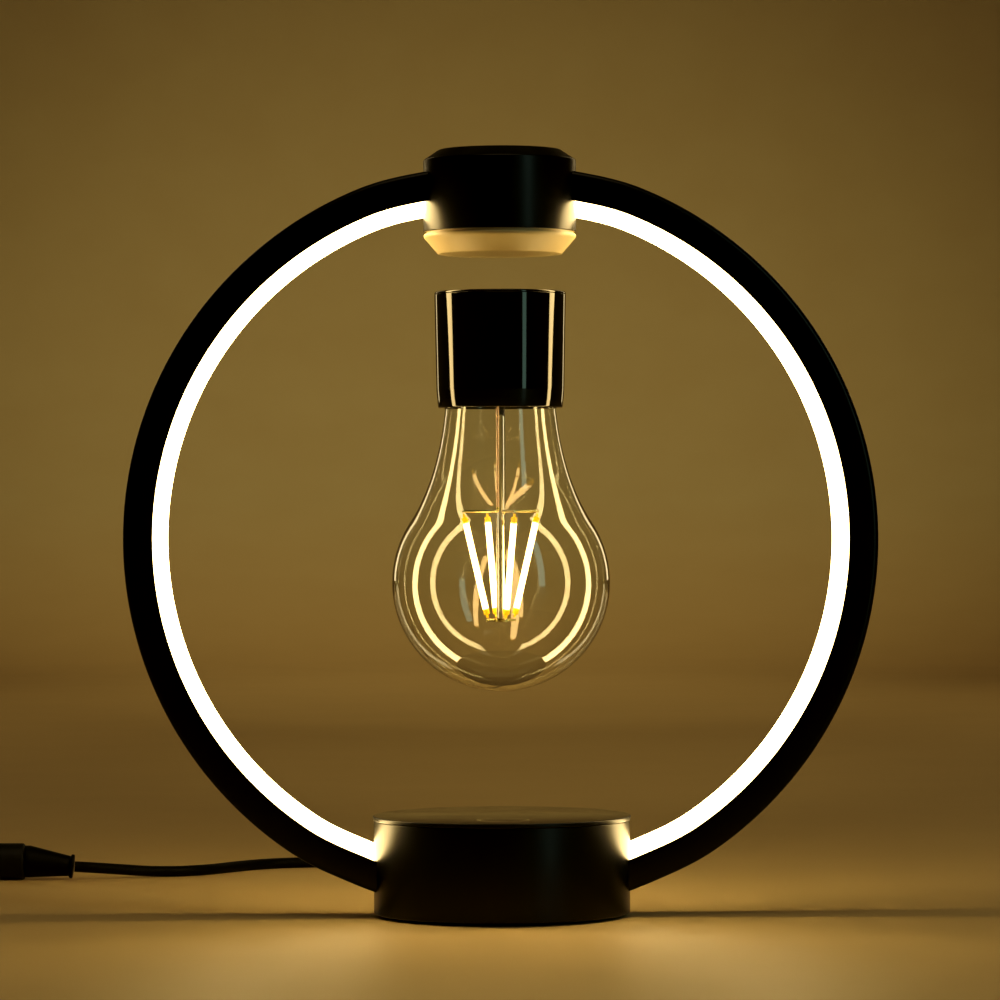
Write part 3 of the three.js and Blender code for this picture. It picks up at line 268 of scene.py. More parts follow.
# Extruded soft PVC on the cord and boots: matt with a dull sheen
def softPvc():
    material, shader = startMaterial("softBlackPvc", "#060606",
                                     {"Roughness": 0.5, "IOR": 1.45, "Specular IOR Level": 0.15,
                                      "Sheen Weight": 0.01})
    varyFinish(material, shader, cloudyPattern(material, 1.2, 3.0), ("#050505", "#080808"),
               rough=(0.44, 0.58), relief=(0.02, 0.4))
    return material


# Moulded black nylon on the plate, clamps, bobbin and socket: a fine eroded texture, greyer than the paint
def mouldedNylon():
    material, shader = startMaterial("mouldedNylon", "#0b0b0b",
                                     {"Roughness": 0.5, "IOR": 1.53, "Specular IOR Level": 0.25})
    varyFinish(material, shader, cloudyPattern(material, 0.35, 4.0), ("#080808", "#0f0f0e"),
               rough=(0.42, 0.6), relief=(0.02, 0.5))
    return material


# Moulded neoprene feet: a dusty matt black
def neoprene():
    material, shader = startMaterial("neoprene", "#1b1b1a", {"Roughness": 0.8, "IOR": 1.5})
    varyFinish(material, shader, cloudyPattern(material, 0.8, 4.0), ("#161615", "#252423"),
               relief=(0.03, 0.6))
    return material


# Zinc-plated steel screws: barrel plated, slightly clouded
def zincSteel():
    material, shader = startMaterial("zincPlatedSteel", "#a9abab", {"Metallic": 1.0, "Roughness": 0.34})
    varyFinish(material, shader, cloudyPattern(material, 1.0, 3.0), ("#999b9d", "#b9bab8"),
               rough=(0.26, 0.42))
    return material


# Nickel plate on the magnet and the socket's pin: bright and a little warm, with a thin haze
def nickelPlate():
    material, shader = startMaterial("nickelPlate", "#c9c6bd", {"Metallic": 1.0, "Roughness": 0.18})
    varyFinish(material, shader, cloudyPattern(material, 2.0, 3.0), rough=(0.12, 0.25))
    return material


# Sand-cast iron weight and core: grainy and dark
def castIron():
    material, shader = startMaterial("sandCastIron", "#3a3b3d", {"Metallic": 0.85, "Roughness": 0.62})
    varyFinish(material, shader, cloudyPattern(material, 1.1, 6.0, 0.7), ("#2b2c2e", "#4a4b4d"),
               relief=(0.15, 0.8))
    return material


# Enamelled copper winding, drawn wire in red-brown bands, one for each turn: painted shade between the turns
# and a painted highlight on each turn's crown
# (about twice as coarse as the real 0.5 mm wire, so that the turns show)
# between: the painted shade in the creases between turns; the other colour is the painted highlight on each
# crown
copperLook = {"turn": 0.987, "between": "#8a3f1b", "paintedHighlight": "#c8743a"}
waveSteps = 20  # a wave pattern at scale 1 runs through this many radians in a metre


def enamelCopper(look):
    material, shader = startMaterial("enamelledCopper", "#b4602c", {"Metallic": 1.0, "Roughness": 0.28})
    place = addNode(material, "ShaderNodeTexCoord")
    turns = addNode(material, "ShaderNodeTexWave", settings={"wave_type": "BANDS", "bands_direction": "Z"},
                    values={"Scale": 2 * math.pi / waveSteps / (look["turn"] * mm)},
                    links={"Vector": place.outputs["Object"]})
    # the bands paint shade between the turns and a highlight on each crown, in step with the bump relief
    varyFinish(material, shader, turns.outputs["Fac"], (look["between"], look["paintedHighlight"]), relief=(0.1, 0.7))
    return material


# Sintered ferrite: dull dark grey with fine pores
def ferrite():
    material, shader = startMaterial("sinteredFerrite", "#2c2c2f", {"Roughness": 0.7, "IOR": 1.8})
    varyFinish(material, shader, cloudyPattern(material, 0.4, 5.0), ("#232326", "#363639"),
               relief=(0.04, 0.6))
    return material


# Glass-fibre circuit board under green solder mask, with paler copper tracks showing through
# (track, length and row are shares of the unit)
boardLook = {"unit": 4, "track": 0.06, "length": 0.9, "row": 0.35, "mask": "#124a29", "copper": "#2b7a47"}


def solderMask(look):
    material, shader = startMaterial("greenSolderMask", "#14502c", {"Roughness": 0.36, "IOR": 1.55})
    place = addNode(material, "ShaderNodeTexCoord")
    tracks = addNode(material, "ShaderNodeTexBrick",
                     values={"Scale": 1 / (look["unit"] * mm), "Mortar Size": look["track"],
                             "Brick Width": look["length"], "Row Height": look["row"]},
                     links={"Vector": place.outputs["Object"]})
    varyFinish(material, shader, tracks.outputs["Fac"], (look["mask"], look["copper"]))
    return material


# White polyimide light strip, laminated: dull cream white, a little uneven
def whiteStrip():
    material, shader = startMaterial("whitePolyimide", "#eeeade", {"Roughness": 0.45, "IOR": 1.6})
    varyFinish(material, shader, cloudyPattern(material, 3.0), ("#e8e2d2", "#f4f0e4"))
    return material


# Mesh helpers
def finishMesh(name, build, material, sharpDegrees):
    mesh = bpy.data.meshes.new(name)
    bmesh.ops.recalc_face_normals(build, faces=build.faces)
    build.to_mesh(mesh)
    build.free()
    mesh.polygons.foreach_set("use_smooth", [True] * len(mesh.polygons))
    mesh.set_sharp_from_angle(angle=math.radians(sharpDegrees))
    mesh.materials.append(material)
    piece = bpy.data.objects.new(name, mesh)
    bpy.context.scene.collection.objects.link(piece)
    return piece


def arcPoints(centre, radius, fromDegrees, toDegrees, steps):
    points = []
    for i in range(steps + 1):
        angle = math.radians(fromDegrees + (toDegrees - fromDegrees) * i / steps)
        points.append((centre[0] + radius * math.cos(angle), centre[1] + radius * math.sin(angle)))
    return points


flatTurn = 0.001  # a rounding that turns less than this, in radians, is drawn straight
axisReach = 1e-6  # a point nearer to the axis than this lies on it


def softOutline(corners, steps=5):
    # corners are (radius, height, rounding); each rounding becomes an arc that meets both sides
    points = []
    count = len(corners)
    for i, (x, y, rounding) in enumerate(corners):
        here = Vector((x, y))
        if rounding <= 0:
            points.append((x, y))
            continue
        before = (Vector(corners[i - 1][:2]) - here).normalized()
        after = (Vector(corners[(i + 1) % count][:2]) - here).normalized()
        half = before.angle(after) / 2
        setBack = rounding / math.tan(half)
        start = here + before * setBack
        end = here + after * setBack
        centre = here + (before + after).normalized() * (rounding / math.sin(half))
        first, last = start - centre, end - centre
        turn = first.angle(last)
        for k in range(steps + 1):
            share = k / steps
            way = first.lerp(last, share)
            if turn > flatTurn:
                way = (first * math.sin((1 - share) * turn) + last * math.sin(share * turn)) / math.sin(turn)
            points.append(tuple(centre + way))
    return points


def roundSpot(radius, angle, height):
    # a place on a circle about the upright axis, in metres
    return radius * mm * math.cos(angle), radius * mm * math.sin(angle), height * mm


def turnedMesh(build, outline, lift, sides, closed):
    # revolves (radius, height) points about the upright axis
    turns = [2 * math.pi * i / sides for i in range(sides)]
    rings = []
    for radius, height in outline:
        if radius < axisReach:
            rings.append([build.verts.new((0, 0, (height + lift) * mm))])
            continue
        rings.append([build.verts.new(roundSpot(radius, turn, height + lift)) for turn in turns])
    pairs = list(zip(rings, rings[1:]))
    if closed:
        pairs.append((rings[-1], rings[0]))
    for low, high in pairs:
        for i in range(sides):
            j = (i + 1) % sides
            corners = [low[i % len(low)], low[j % len(low)], high[j % len(high)], high[i % len(high)]]
            unique = list(dict.fromkeys(corners))
            if len(unique) > 2:
                build.faces.new(unique)


def turned(name, outline, material, lift=0.0, sides=160, closed=True, sharpDegrees=32):
    build = bmesh.new()
    onAxis = outline[0][0] < axisReach and outline[-1][0] < axisReach
    turnedMesh(build, outline, lift, sides, closed and not onAxis)
    return finishMesh(name, build, material, sharpDegrees)


def addTube(build, points, radius, sides):
    # a round rod through the points, with flat ends
    path = [Vector(point) for point in points]
    rings = []
    turn = Quaternion()
    lastWay = Vector((0, 0, 1))
    for i, point in enumerate(path):
        way = (path[min(i + 1, len(path) - 1)] - path[max(i - 1, 0)]).normalized()
        turn = lastWay.rotation_difference(way) @ turn
        lastWay = way
        ringVerts = []
        for k in range(sides):
            angle = 2 * math.pi * k / sides
            offset = turn @ Vector((radius * math.cos(angle), radius * math.sin(angle), 0))
            ringVerts.append(build.verts.new((point + offset) * mm))
        rings.append(ringVerts)
    for low, high in zip(rings, rings[1:]):
        for k in range(sides):
            build.faces.new([low[k], low[(k + 1) % sides], high[(k + 1) % sides], high[k]])
    build.faces.new(list(reversed(rings[0])))
    build.faces.new(rings[-1])


def settle(piece, body, cadNode):
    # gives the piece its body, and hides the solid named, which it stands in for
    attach(piece, body)
    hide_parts(cadNode)
    return piece


coat = powderCoat()
touch = touchCoat(touchMark)
gloss = pianoBlack()
opal = opalLit(opalGlow)
cream = creamShell()
glass = blownGlass()
stemGlass = drawnGlass()
brass = drawnBrass(brassLook)
pvc = softPvc()
nylon = mouldedNylon()
rubber = neoprene()
zinc = zincSteel()
nickel = nickelPlate()
iron = castIron()
copper = enamelCopper(copperLook)
ferriteGrey = ferrite()
mask = solderMask(boardLook)
strip = whiteStrip()
print("materials ready")


# Supply cord: from the gland behind the base, loosely round on the table, to the boot on the left
cordFacts = {
    "diameter": 3.2, "rest": 1.62, "exitHeight": 8.5, "glandEnd": 55.5, "gap": 0.3, "seat": 0.05,
    "bootPlace": (-127, 125), "bootDroop": 6.6, "bootLength": 14, "bootWide": 4.8, "bootNarrow": 3.0,
    "bootCollar": 3.6, "collarLength": 1.0, "bootRoot": 1.3, "rootRound": 1.5, "stepsBetween": 4,
    "socketRadius": 5.5, "socketLength": 32, "socketEdge": 0.8, "jackRadius": 2.9, "jackDepth": 9.5,
    "route": [
        (0, 59.6, 8.35), (-0.2, 68, 6.3), (-0.8, 78, 3.4), (-2, 88, 1.9), (-4.2, 100, 1.62),
        (-9, 119, 1.62), (-17, 138, 1.62), (-29, 154, 1.62), (-43, 163, 1.62), (-56, 164.5, 1.62),
        (-66, 162, 1.62), (-74, 156, 1.62), (-80.5, 148, 1.62), (-87, 139.5, 1.62), (-95, 134, 1.62),
        (-104, 131, 1.9), (-113, 127.8, 2.75), (-121, 125.5, 3.5),
    ],
}


def bootWay(facts):
    droop = math.radians(facts["bootDroop"])
    return Vector((math.cos(droop), 0, -math.sin(droop)))


def bootRootPlace(facts):
    way = bootWay(facts)
    end = Vector((*facts["bootPlace"], facts["socketRadius"] + facts["seat"] + facts["bootLength"] * way.z))
    return end - way * facts["bootLength"]


def cordRoute(facts):
    start = (0, facts["glandEnd"] + facts["gap"], facts["exitHeight"])
    end = bootRootPlace(facts) + bootWay(facts) * (facts["bootLength"] + facts["gap"])
    return [start, *facts["route"], tuple(end)]


def between(first, last, start, end, t):
    return first * ((end - t) / (end - start)) + last * ((t - start) / (end - start))


def smoothThrough(points, steps, lowest):
    # centripetal curve through the points, evenly stepped in each stretch, never below the table
    path = [Vector(point) for point in points]
    path = [path[0] * 2 - path[1], *path, path[-1] * 2 - path[-2]]
    made = []
    for i in range(1, len(path) - 2):
        p0, p1, p2, p3 = path[i - 1:i + 3]
        t0, t1 = 0.0, (p1 - p0).length ** 0.5
        t2 = t1 + (p2 - p1).length ** 0.5
        t3 = t2 + (p3 - p2).length ** 0.5
        for k in range(steps):
            t = t1 + (t2 - t1) * k / steps
            a1 = between(p0, p1, t0, t1, t)
            a2 = between(p1, p2, t1, t2, t)
            a3 = between(p2, p3, t2, t3, t)
            b1 = between(a1, a2, t0, t2, t)
            b2 = between(a2, a3, t1, t3, t)
            made.append(between(b1, b2, t1, t2, t))
    made.append(path[-2])
    for point in made:
        point.z = max(point.z, lowest)
    return made


def makeCord(facts):
    path = smoothThrough(cordRoute(facts), facts["stepsBetween"], facts["rest"])
    build = bmesh.new()
    addTube(build, path, facts["diameter"] / 2, sides=20)
    cordPiece = finishMesh("supplyCord", build, pvc, sharpDegrees=50)
    settle(cordPiece, "lamp", "supply_cord")
    boot = makeBoot(facts)
    socket = makeSocket(facts)


def makeBoot(facts):
    # a short straight root on the socket, then a taper that droops to the cord, with a collar at its end
    root, length = facts["bootRoot"] / 2, facts["bootLength"]
    wide, collar, step = facts["bootWide"], facts["bootCollar"], length - facts["collarLength"]
    outline = softOutline([
        (0, -root, 0),
        (wide, -root, 0.2),
        (wide, root, facts["rootRound"]),
        (facts["bootNarrow"], step, 0.3),
        (collar, step, 0.3),
        (collar, length, 0.3),
        (0, length, 0),
    ])
    boot = turned("cordBoot", outline, pvc, sides=48)
    droop = math.radians(facts["bootDroop"])
    for vertex in boot.data.vertices:
        share = min(max(vertex.co.z / (2 * root * mm), 0), 1)
        vertex.co.rotate(Quaternion((0, 1, 0), droop * share))
    boot.rotation_euler = (0, math.pi / 2, 0)
    boot.location = bootRootPlace(facts) * mm
    return settle(boot, "lamp", "cord_boot")


def makeSocket(facts):
    radius, length, edge = facts["socketRadius"], facts["socketLength"], facts["socketEdge"]
    jack, floor = facts["jackRadius"], length - facts["jackDepth"]
    outline = softOutline([
        (0, 0, 0),
        (radius, 0, edge),
        (radius, length, edge),
        (jack, length, 0.2),
        (jack, floor, 0),
        (0, floor, 0),
    ])
    socket = turned("cordSocket", outline, nylon, sides=64)
    socket.rotation_euler = (0, -math.pi / 2, 0)
    behind = Vector((facts["bootRoot"] / 2 + facts["seat"], 0, 0))
    socket.location = (bootRootPlace(facts) - behind) * mm
    return settle(socket, "lamp", "cord_socket")


makeCord(cordFacts)
print("cord made")


# Base: a painted cylinder, a thin top disc, feet, and the cord's gland at the rear
baseFacts = {
    "radius": 35.2, "wall": 1.8, "low": 0.8, "top": 26.35, "deck": 1.6, "edge": 0.5, "topEdge": 0.25,
    "panelRadius": 35.45, "panelLow": 26.4, "panelTop": 27.6, "panelEdge": 0.35, "topSlope": 0.9,
    "footRadius": 4.5, "footHigh": 0.95, "footPlace": 24, "footTurns": (30, 150, 210, 330),
    "glandFlange": 4.3, "glandThick": 1.5, "glandNeck": 3.2, "glandTail": 2.3,
    "glandOut": 0.3, "glandIn": 0.7,
}


def makeBase(facts):
    radius, low, top = facts["radius"], facts["low"], facts["top"]
    inner, under = radius - facts["wall"], top - facts["deck"]
    shell = softOutline([
        (0, under, 0),
        (inner, under, 0.6),
        (inner, low, 0.2),
        (radius, low, facts["edge"]),
        (radius, top, facts["topEdge"]),
        (0, top, 0),
    ])
    settle(turned("baseShell", shell, coat), "lamp", "base_shell")
    radius, low, top = facts["panelRadius"], facts["panelLow"], facts["panelTop"]
    panel = softOutline([(0, low, 0), (radius, low, 0.2), (radius, top, facts["panelEdge"]), (0, top, 0)])
    disc = turned("touchPanel", panel, touch)
    disc.data.materials.append(coat)  # only the top is rubbed finer
    for face in disc.data.polygons:
        face.material_index = 0 if face.normal.z > facts["topSlope"] else 1
    settle(disc, "lamp", "touch_panel")
    radius, high = facts["footRadius"], facts["footHigh"]
    foot = softOutline([(0, 0, 0), (radius, 0, 0.3), (radius, high, 0.1), (0, high, 0)])
    for i, degrees in enumerate(facts["footTurns"]):
        piece = turned(f"rubberFoot{i + 1}", foot, rubber, sides=32)
        piece.location = roundSpot(facts["footPlace"], math.radians(degrees), 0)
        settle(piece, "lamp", f"rubber_foot_{i + 1}")


def makeGland(facts, cordData):
    face = facts["radius"] + facts["glandOut"]
    inside = facts["radius"] - facts["wall"] - facts["glandIn"]
    flange, neck, thick = facts["glandFlange"], facts["glandNeck"], facts["glandThick"]
    outline = softOutline([
        (0, inside - thick, 0),
        (flange, inside - thick, 0.3),
        (flange, inside, 0.2),
        (neck, inside, 0),
        (neck, face, 0),
        (flange, face, 0.2),
        (flange, face + thick, 0.4),
        (neck, face + thick, 0.3),
        (facts["glandTail"], cordData["glandEnd"], 0.3),
        (0, cordData["glandEnd"], 0),
    ])
    gland = turned("cordGland", outline, pvc, sides=48)
    gland.rotation_euler = (-math.pi / 2, 0, 0)
    gland.location = (0, 0, cordData["exitHeight"] * mm)
    settle(gland, "lamp", "cord_gland")


makeBase(baseFacts)
makeGland(baseFacts, cordFacts)
print("base made")


# Ring: two arcs of bent channel with a domed diffuser in the mouth
ringFacts = {
    "radius": 103.4, "height": 103.6, "depth": 15, "width": 8.1, "wall": 1.2,
    "corner": 1.5, "mouthRound": 0.25, "proud": 3.7, "sunk": 2.4, "domeRound": 2.2, "diffuserWall": 1.0,
    "gap": 0.3, "lowerEnd": 26.0, "upperEnd": 13.4, "endGap": 0.3, "steps": 180,
    "flats": [(-1, 0.8, 56, 67), (1, 0.85, 68, 80)],  # end, amount, from and to degrees
}


def endFlattening(facts, angle):
    # the bent arcs flatten a little where they go into the base (-1) and the module (1)
    shift = 0
    for way, amount, first, last in facts["flats"]:
        share = min(max((way * math.degrees(angle) - first) / (last - first), 0), 1)
        shift -= way * amount * share * share * (3 - 2 * share)
    return shift


def arcSweep(facts, name, side, section, ends, material):
    # sweeps (radius, depth) points round the ring; each point starts and stops on its own angle
    build = bmesh.new()
    rings = []
    for step in range(facts["steps"] + 1):
        share = step / facts["steps"]
        ringVerts = []
        for radius, depth in section:
            low, high = ends(radius, depth)
            angle = low + (high - low) * share
            x = side * radius * math.cos(angle)
            z = facts["height"] + radius * math.sin(angle) + endFlattening(facts, angle)
            ringVerts.append(build.verts.new((x * mm, depth * mm, z * mm)))
        rings.append(ringVerts)
    count = len(section)
    for low, high in zip(rings, rings[1:]):
        for k in range(count):
            build.faces.new([low[k], low[(k + 1) % count], high[(k + 1) % count], high[k]])
    build.faces.new(rings[0])
    build.faces.new(rings[-1])
    return finishMesh(name, build, material, sharpDegrees=40)


def channelSection(facts):
    radius, half, wall = facts["radius"], facts["depth"] / 2, facts["wall"]
    mouth, floor, lipped = radius - facts["width"], radius - wall, half - wall
    return softOutline([
        (mouth, -half, facts["mouthRound"]),
        (radius, -half, facts["corner"]),
        (radius, half, facts["corner"]),
        (mouth, half, facts["mouthRound"]),
        (mouth, lipped, 0.2),
        (floor, lipped, 0),
        (floor, -lipped, 0),
        (mouth, -lipped, 0.2),
    ])


def diffuserSection(facts):
    half = facts["depth"] / 2 - facts["wall"] - facts["gap"]
    mouth = facts["radius"] - facts["width"]
    face = mouth - facts["proud"]
    back = mouth + facts["sunk"]
    wall, dome = facts["diffuserWall"], facts["domeRound"]
    inner = dome - wall
    return softOutline([
        (back, -half, 0),
        (face, -half, dome),
        (face, half, dome),
        (back, half, 0),
        (back, half - wall, 0),
        (face + wall, half - wall, inner),
        (face + wall, wall - half, inner),
        (back, wall - half, 0),
    ], steps=6)


# A channel is cut flat inside base and module, and a diffuser ends on their round walls
def planeEnds(facts):
    def ends(radius, depth):
        return -math.acos(facts["lowerEnd"] / radius), math.acos(facts["upperEnd"] / radius)
    return ends


def wallEnds(facts, lowerRadius, upperRadius):
    def stop(wallRadius, radius, depth):
        return math.acos(math.sqrt((wallRadius + facts["endGap"]) ** 2 - depth ** 2) / radius)
    return lambda radius, depth: (-stop(lowerRadius, radius, depth), stop(upperRadius, radius, depth))


def makeRing(facts):
    for word, side in sideWords.items():
        name = f"ringChannel{word.title()}"
        channel = arcSweep(facts, name, side, channelSection(facts), planeEnds(facts), coat)
        settle(channel, "lamp", f"ring_channel_{word}")
        ends = wallEnds(facts, baseFacts["radius"], moduleFacts["radius"])
        name = f"ringDiffuser{word.title()}"
        diffuser = arcSweep(facts, name, side, diffuserSection(facts), ends, opal)
        settle(diffuser, "lamp", f"ring_diffuser_{word}")


# Module: chamfered housing, narrow seam, conical cover
moduleFacts = {
    "radius": 21, "wall": 1.6, "deck": 1.6, "top": 210.4, "seam": 187.9,
    "chamferIn": 4.2, "chamferDrop": 2.8, "shoulderRound": 0.6, "topRound": 0.5,
    "coverLow": 181.8, "coverMouth": 17, "coverWall": 1.4, "coverLean": 0.15, "mouthRound": 0.6,
    "coneRound": 0.8, "lipRound": 0.5, "lipDrop": 1.0,
    "seamIn": 0.8, "seamHeight": 0.6, "spigot": 1.8, "fit": 0.3,
}


def makeModule(facts):
    inner = facts["radius"] - facts["wall"]
    top, seam, radius = facts["top"], facts["seam"], facts["radius"]
    under = top - facts["deck"]
    shell = softOutline([
        (0, under, 0),
        (inner - facts["chamferIn"], under, 0.3),
        (inner, under - facts["chamferDrop"], 0.3),
        (inner, seam, 0.1),
        (radius, seam, 0.2),
        (radius, top - facts["chamferDrop"], facts["shoulderRound"]),
        (radius - facts["chamferIn"], top, facts["topRound"]),
        (0, top, 0),
    ])
    settle(turned("moduleShell", shell, coat), "lamp", "module_shell")
    low, mouth, wall = facts["coverLow"], facts["coverMouth"], facts["coverWall"]
    lipTop = seam - facts["seamHeight"]
    spigot = inner - facts["fit"]
    cover = softOutline([
        (0, low, 0),
        (mouth, low, facts["mouthRound"]),
        (radius - facts["coverLean"], lipTop - facts["lipDrop"], facts["coneRound"]),
        (radius, lipTop, facts["lipRound"]),
        (radius - facts["seamIn"], lipTop, 0.1),
        (radius - facts["seamIn"], seam, 0),
        (spigot, seam, 0),
        (spigot, seam + facts["spigot"], 0.2),
        (spigot - wall, seam + facts["spigot"], 0.2),
        (spigot - wall, seam - facts["lipDrop"], 0.3),
        (mouth - wall, low + wall, 0.3),
        (0, low + wall, 0),
    ])
    settle(turned("moduleCover", cover, cream), "lamp", "module_cover")


makeRing(ringFacts)
makeModule(moduleFacts)
print("ring and module made")


# Floating bulb: gloss cap and lid, blown glass, pressed stem, four light filaments on wires
bulbFacts = {
    "middle": 91.6, "radius": 30, "wall": 0.8, "blownWall": 0.32, "flareAngle": 33.1, "capDrop": 47.9,
    "neckLip": 15.2, "neckRadius": 13.2, "neckRise": 11.5, "neckStraight": 5.4,
    "shoulderPull": 9, "lipPull": 14, "lipLean": 1.4,
    "capHeight": 31.9, "capTop": 18.1, "capWaist": 17.6, "capBottom": 17.1, "capMouth": 15.7, "capWall": 1.5,
    "waistHeight": 5, "waistRound": 12, "softHeight": 2.2, "softRound": 3, "edgeRound": 0.4,
    "lidHeight": 0.7, "lidRound": 0.5, "lidSpigot": 1.4, "lidFit": 0.3, "lidSeat": 0.05,
}


def bezier(p0, p1, p2, p3, steps):
    points = []
    for i in range(steps + 1):
        t = i / steps
        s = 1 - t
        weights = (s ** 3, 3 * s * s * t, 3 * s * t * t, t ** 3)
        x, y = (sum(w * v for w, v in zip(weights, values)) for values in zip(p0, p1, p2, p3))
        points.append((x, y))
    return points


def glassOutline(facts, inset):
    # from the open neck down to the pole
    angle = math.radians(facts["flareAngle"])
    ball = facts["radius"] - inset
    shoulder = (ball * math.cos(angle), ball * math.sin(angle))
    pull = facts["shoulderPull"]
    climb = (shoulder[0] - pull * math.sin(angle), shoulder[1] + pull * math.cos(angle))
    lip = (facts["neckLip"] - inset, facts["capDrop"])
    lean = (lip[0] + facts["lipLean"], lip[1] - facts["lipPull"])
    neckTop = facts["capDrop"] + facts["neckRise"]
    foot = (facts["neckRadius"] - inset, neckTop - facts["neckStraight"])
    half = (foot[1] - lip[1]) / 2
    back = (lip[0] - facts["lipLean"] * half / facts["lipPull"], lip[1] + half)
    neck = bezier(foot, (foot[0], foot[1] - half), back, lip, steps=8)
    flare = bezier(lip, lean, climb, shoulder, steps=22)
    globe = arcPoints((0, 0), ball, facts["flareAngle"], -90, steps=40)
    globe[-1] = (0, -ball)
    return [(foot[0], neckTop), *neck, *flare[1:], *globe[1:]]


def makeGlass(facts):
    # drawn thinner than the solid's wall, so that its rim stays as fine as a blown bulb's
    outline = glassOutline(facts, 0) + list(reversed(glassOutline(facts, facts["blownWall"])))
    envelope = turned("glassEnvelope", outline, glass, facts["middle"], sides=128, sharpDegrees=40)
    settle(envelope, "bulb", "glass_envelope")


def makeCap(facts):
    low = facts["middle"] + facts["capDrop"]
    seat = facts["capHeight"] - facts["lidHeight"]
    top, waist, bottom, wall = facts["capTop"], facts["capWaist"], facts["capBottom"], facts["capWall"]
    shell = softOutline([
        (facts["capMouth"], 0, 0.1),
        (bottom, 0, facts["edgeRound"]),
        ((bottom + waist) / 2, facts["softHeight"], facts["softRound"]),
        (waist, facts["waistHeight"], facts["waistRound"]),
        (top, seat, 0.15),
        (top - wall, seat, 0),
        (waist - wall, facts["waistHeight"], 0),
        (facts["capMouth"], wall, 0),
    ], steps=6)
    settle(turned("capShell", shell, gloss, low), "bulb", "cap_shell")
    spigot = top - wall - facts["lidFit"]
    lid = softOutline([
        (0, 0, 0),
        (spigot - wall, 0, 0),
        (spigot - wall, -facts["lidSpigot"], 0.1),
        (spigot, -facts["lidSpigot"], 0.1),
        (spigot, 0, 0),
        (top, 0, 0.15),
        (top, facts["lidHeight"], facts["lidRound"]),
        (0, facts["lidHeight"], 0),
    ], steps=8)
    lift = low + seat + facts["lidSeat"]
    settle(turned("capLid", lid, gloss, lift), "bulb", "cap_lid")


stemFacts = {
    "rodRadius": 1.25, "rodBottom": -11, "rodTop": 48,
    "pressRadius": 3.6, "pressTop": 53, "pressBottom": 50.5,
    "flareGap": 0.4, "flareWall": 0.8, "flareDrop": 0.3, "wireGap": 0.3,
}


def makeStem(facts, bulb):
    rim = bulb["neckRadius"] - bulb["wall"] - facts["flareGap"]
    top = bulb["capDrop"] + bulb["neckRise"] - facts["flareDrop"]
    press, low, wall = facts["pressRadius"], facts["pressTop"], facts["flareWall"]
    rise = (top - low) / 2

    def bell(inset, edge):
        return bezier((press - inset, low + inset), (press - inset, low + inset + rise),
                      (edge + inset - rise, low + inset + rise), (edge, top), steps=12)

    outline = [(0, low + wall), *bell(wall, rim - wall * math.sqrt(2)), *reversed(bell(0, rim))]
    half = (facts["pressBottom"] - facts["rodTop"]) / 2
    rod, bottom = facts["rodRadius"], facts["rodBottom"]
    outline += bezier((press, facts["pressBottom"]), (press, facts["pressBottom"] - half),
                      (rod, facts["rodTop"] + half), (rod, facts["rodTop"]), steps=10)
    outline += arcPoints((0, bottom + rod), rod, 0, -90, steps=6)[:-1]
    outline.append((0, bottom))
    stem = turned("glassStem", outline, stemGlass, bulb["middle"], sides=48)
    settle(stem, "bulb", "glass_stem")


filamentFacts = {
    "count": 4, "turn": 19, "radius": 0.84, "topPlace": 10.8, "bottomPlace": 3.9, "topHeight": 18.7,
    "bottomHeight": -9.7, "pinRadius": 0.3, "pinShare": 0.03, "tipRound": 0.35,
    "wire": 0.35, "armHeight": 19.4, "leadTurn": 65, "leadTop": 62.5,
    "knee": (1.2, 0.5, 0.15), "hookSteps": 16,
    "anchorHeight": -10.4, "anchorReach": 4.3, "hubWall": 0.4, "hubHeight": 1.0,
}


def filamentAngle(facts, index):
    return math.radians(facts["turn"] + index * 360 / facts["count"])


def makeFilaments(facts, bulb):
    across = facts["topPlace"] - facts["bottomPlace"]
    high = facts["topHeight"] - facts["bottomHeight"]
    length = math.hypot(across, high)
    phosphor = phosphorBar(filamentLook, length)
    half, pin, radius = length / 2, facts["pinRadius"], facts["radius"]
    bar = half - length * facts["pinShare"]
    outline = softOutline([
        (0, -half, 0),
        (pin, -half, 0),
        (pin, -bar, 0),
        (radius, -bar, facts["tipRound"]),
        (radius, bar, facts["tipRound"]),
        (pin, bar, 0),
        (pin, half, 0),
        (0, half, 0),
    ])
    middle = (facts["topPlace"] + facts["bottomPlace"]) / 2
    height = bulb["middle"] + (facts["topHeight"] + facts["bottomHeight"]) / 2
    for i in range(facts["count"]):
        piece = turned(f"lightFilament{i + 1}", outline, phosphor, sides=24)
        angle = filamentAngle(facts, i)
        lean = Quaternion((0, 0, 1), angle) @ Quaternion((0, 1, 0), math.atan2(across, high))
        piece.rotation_mode = "QUATERNION"
        piece.rotation_quaternion = lean
        piece.location = roundSpot(middle, angle, height)
        settle(piece, "bulb", f"light_filament_{i + 1}")


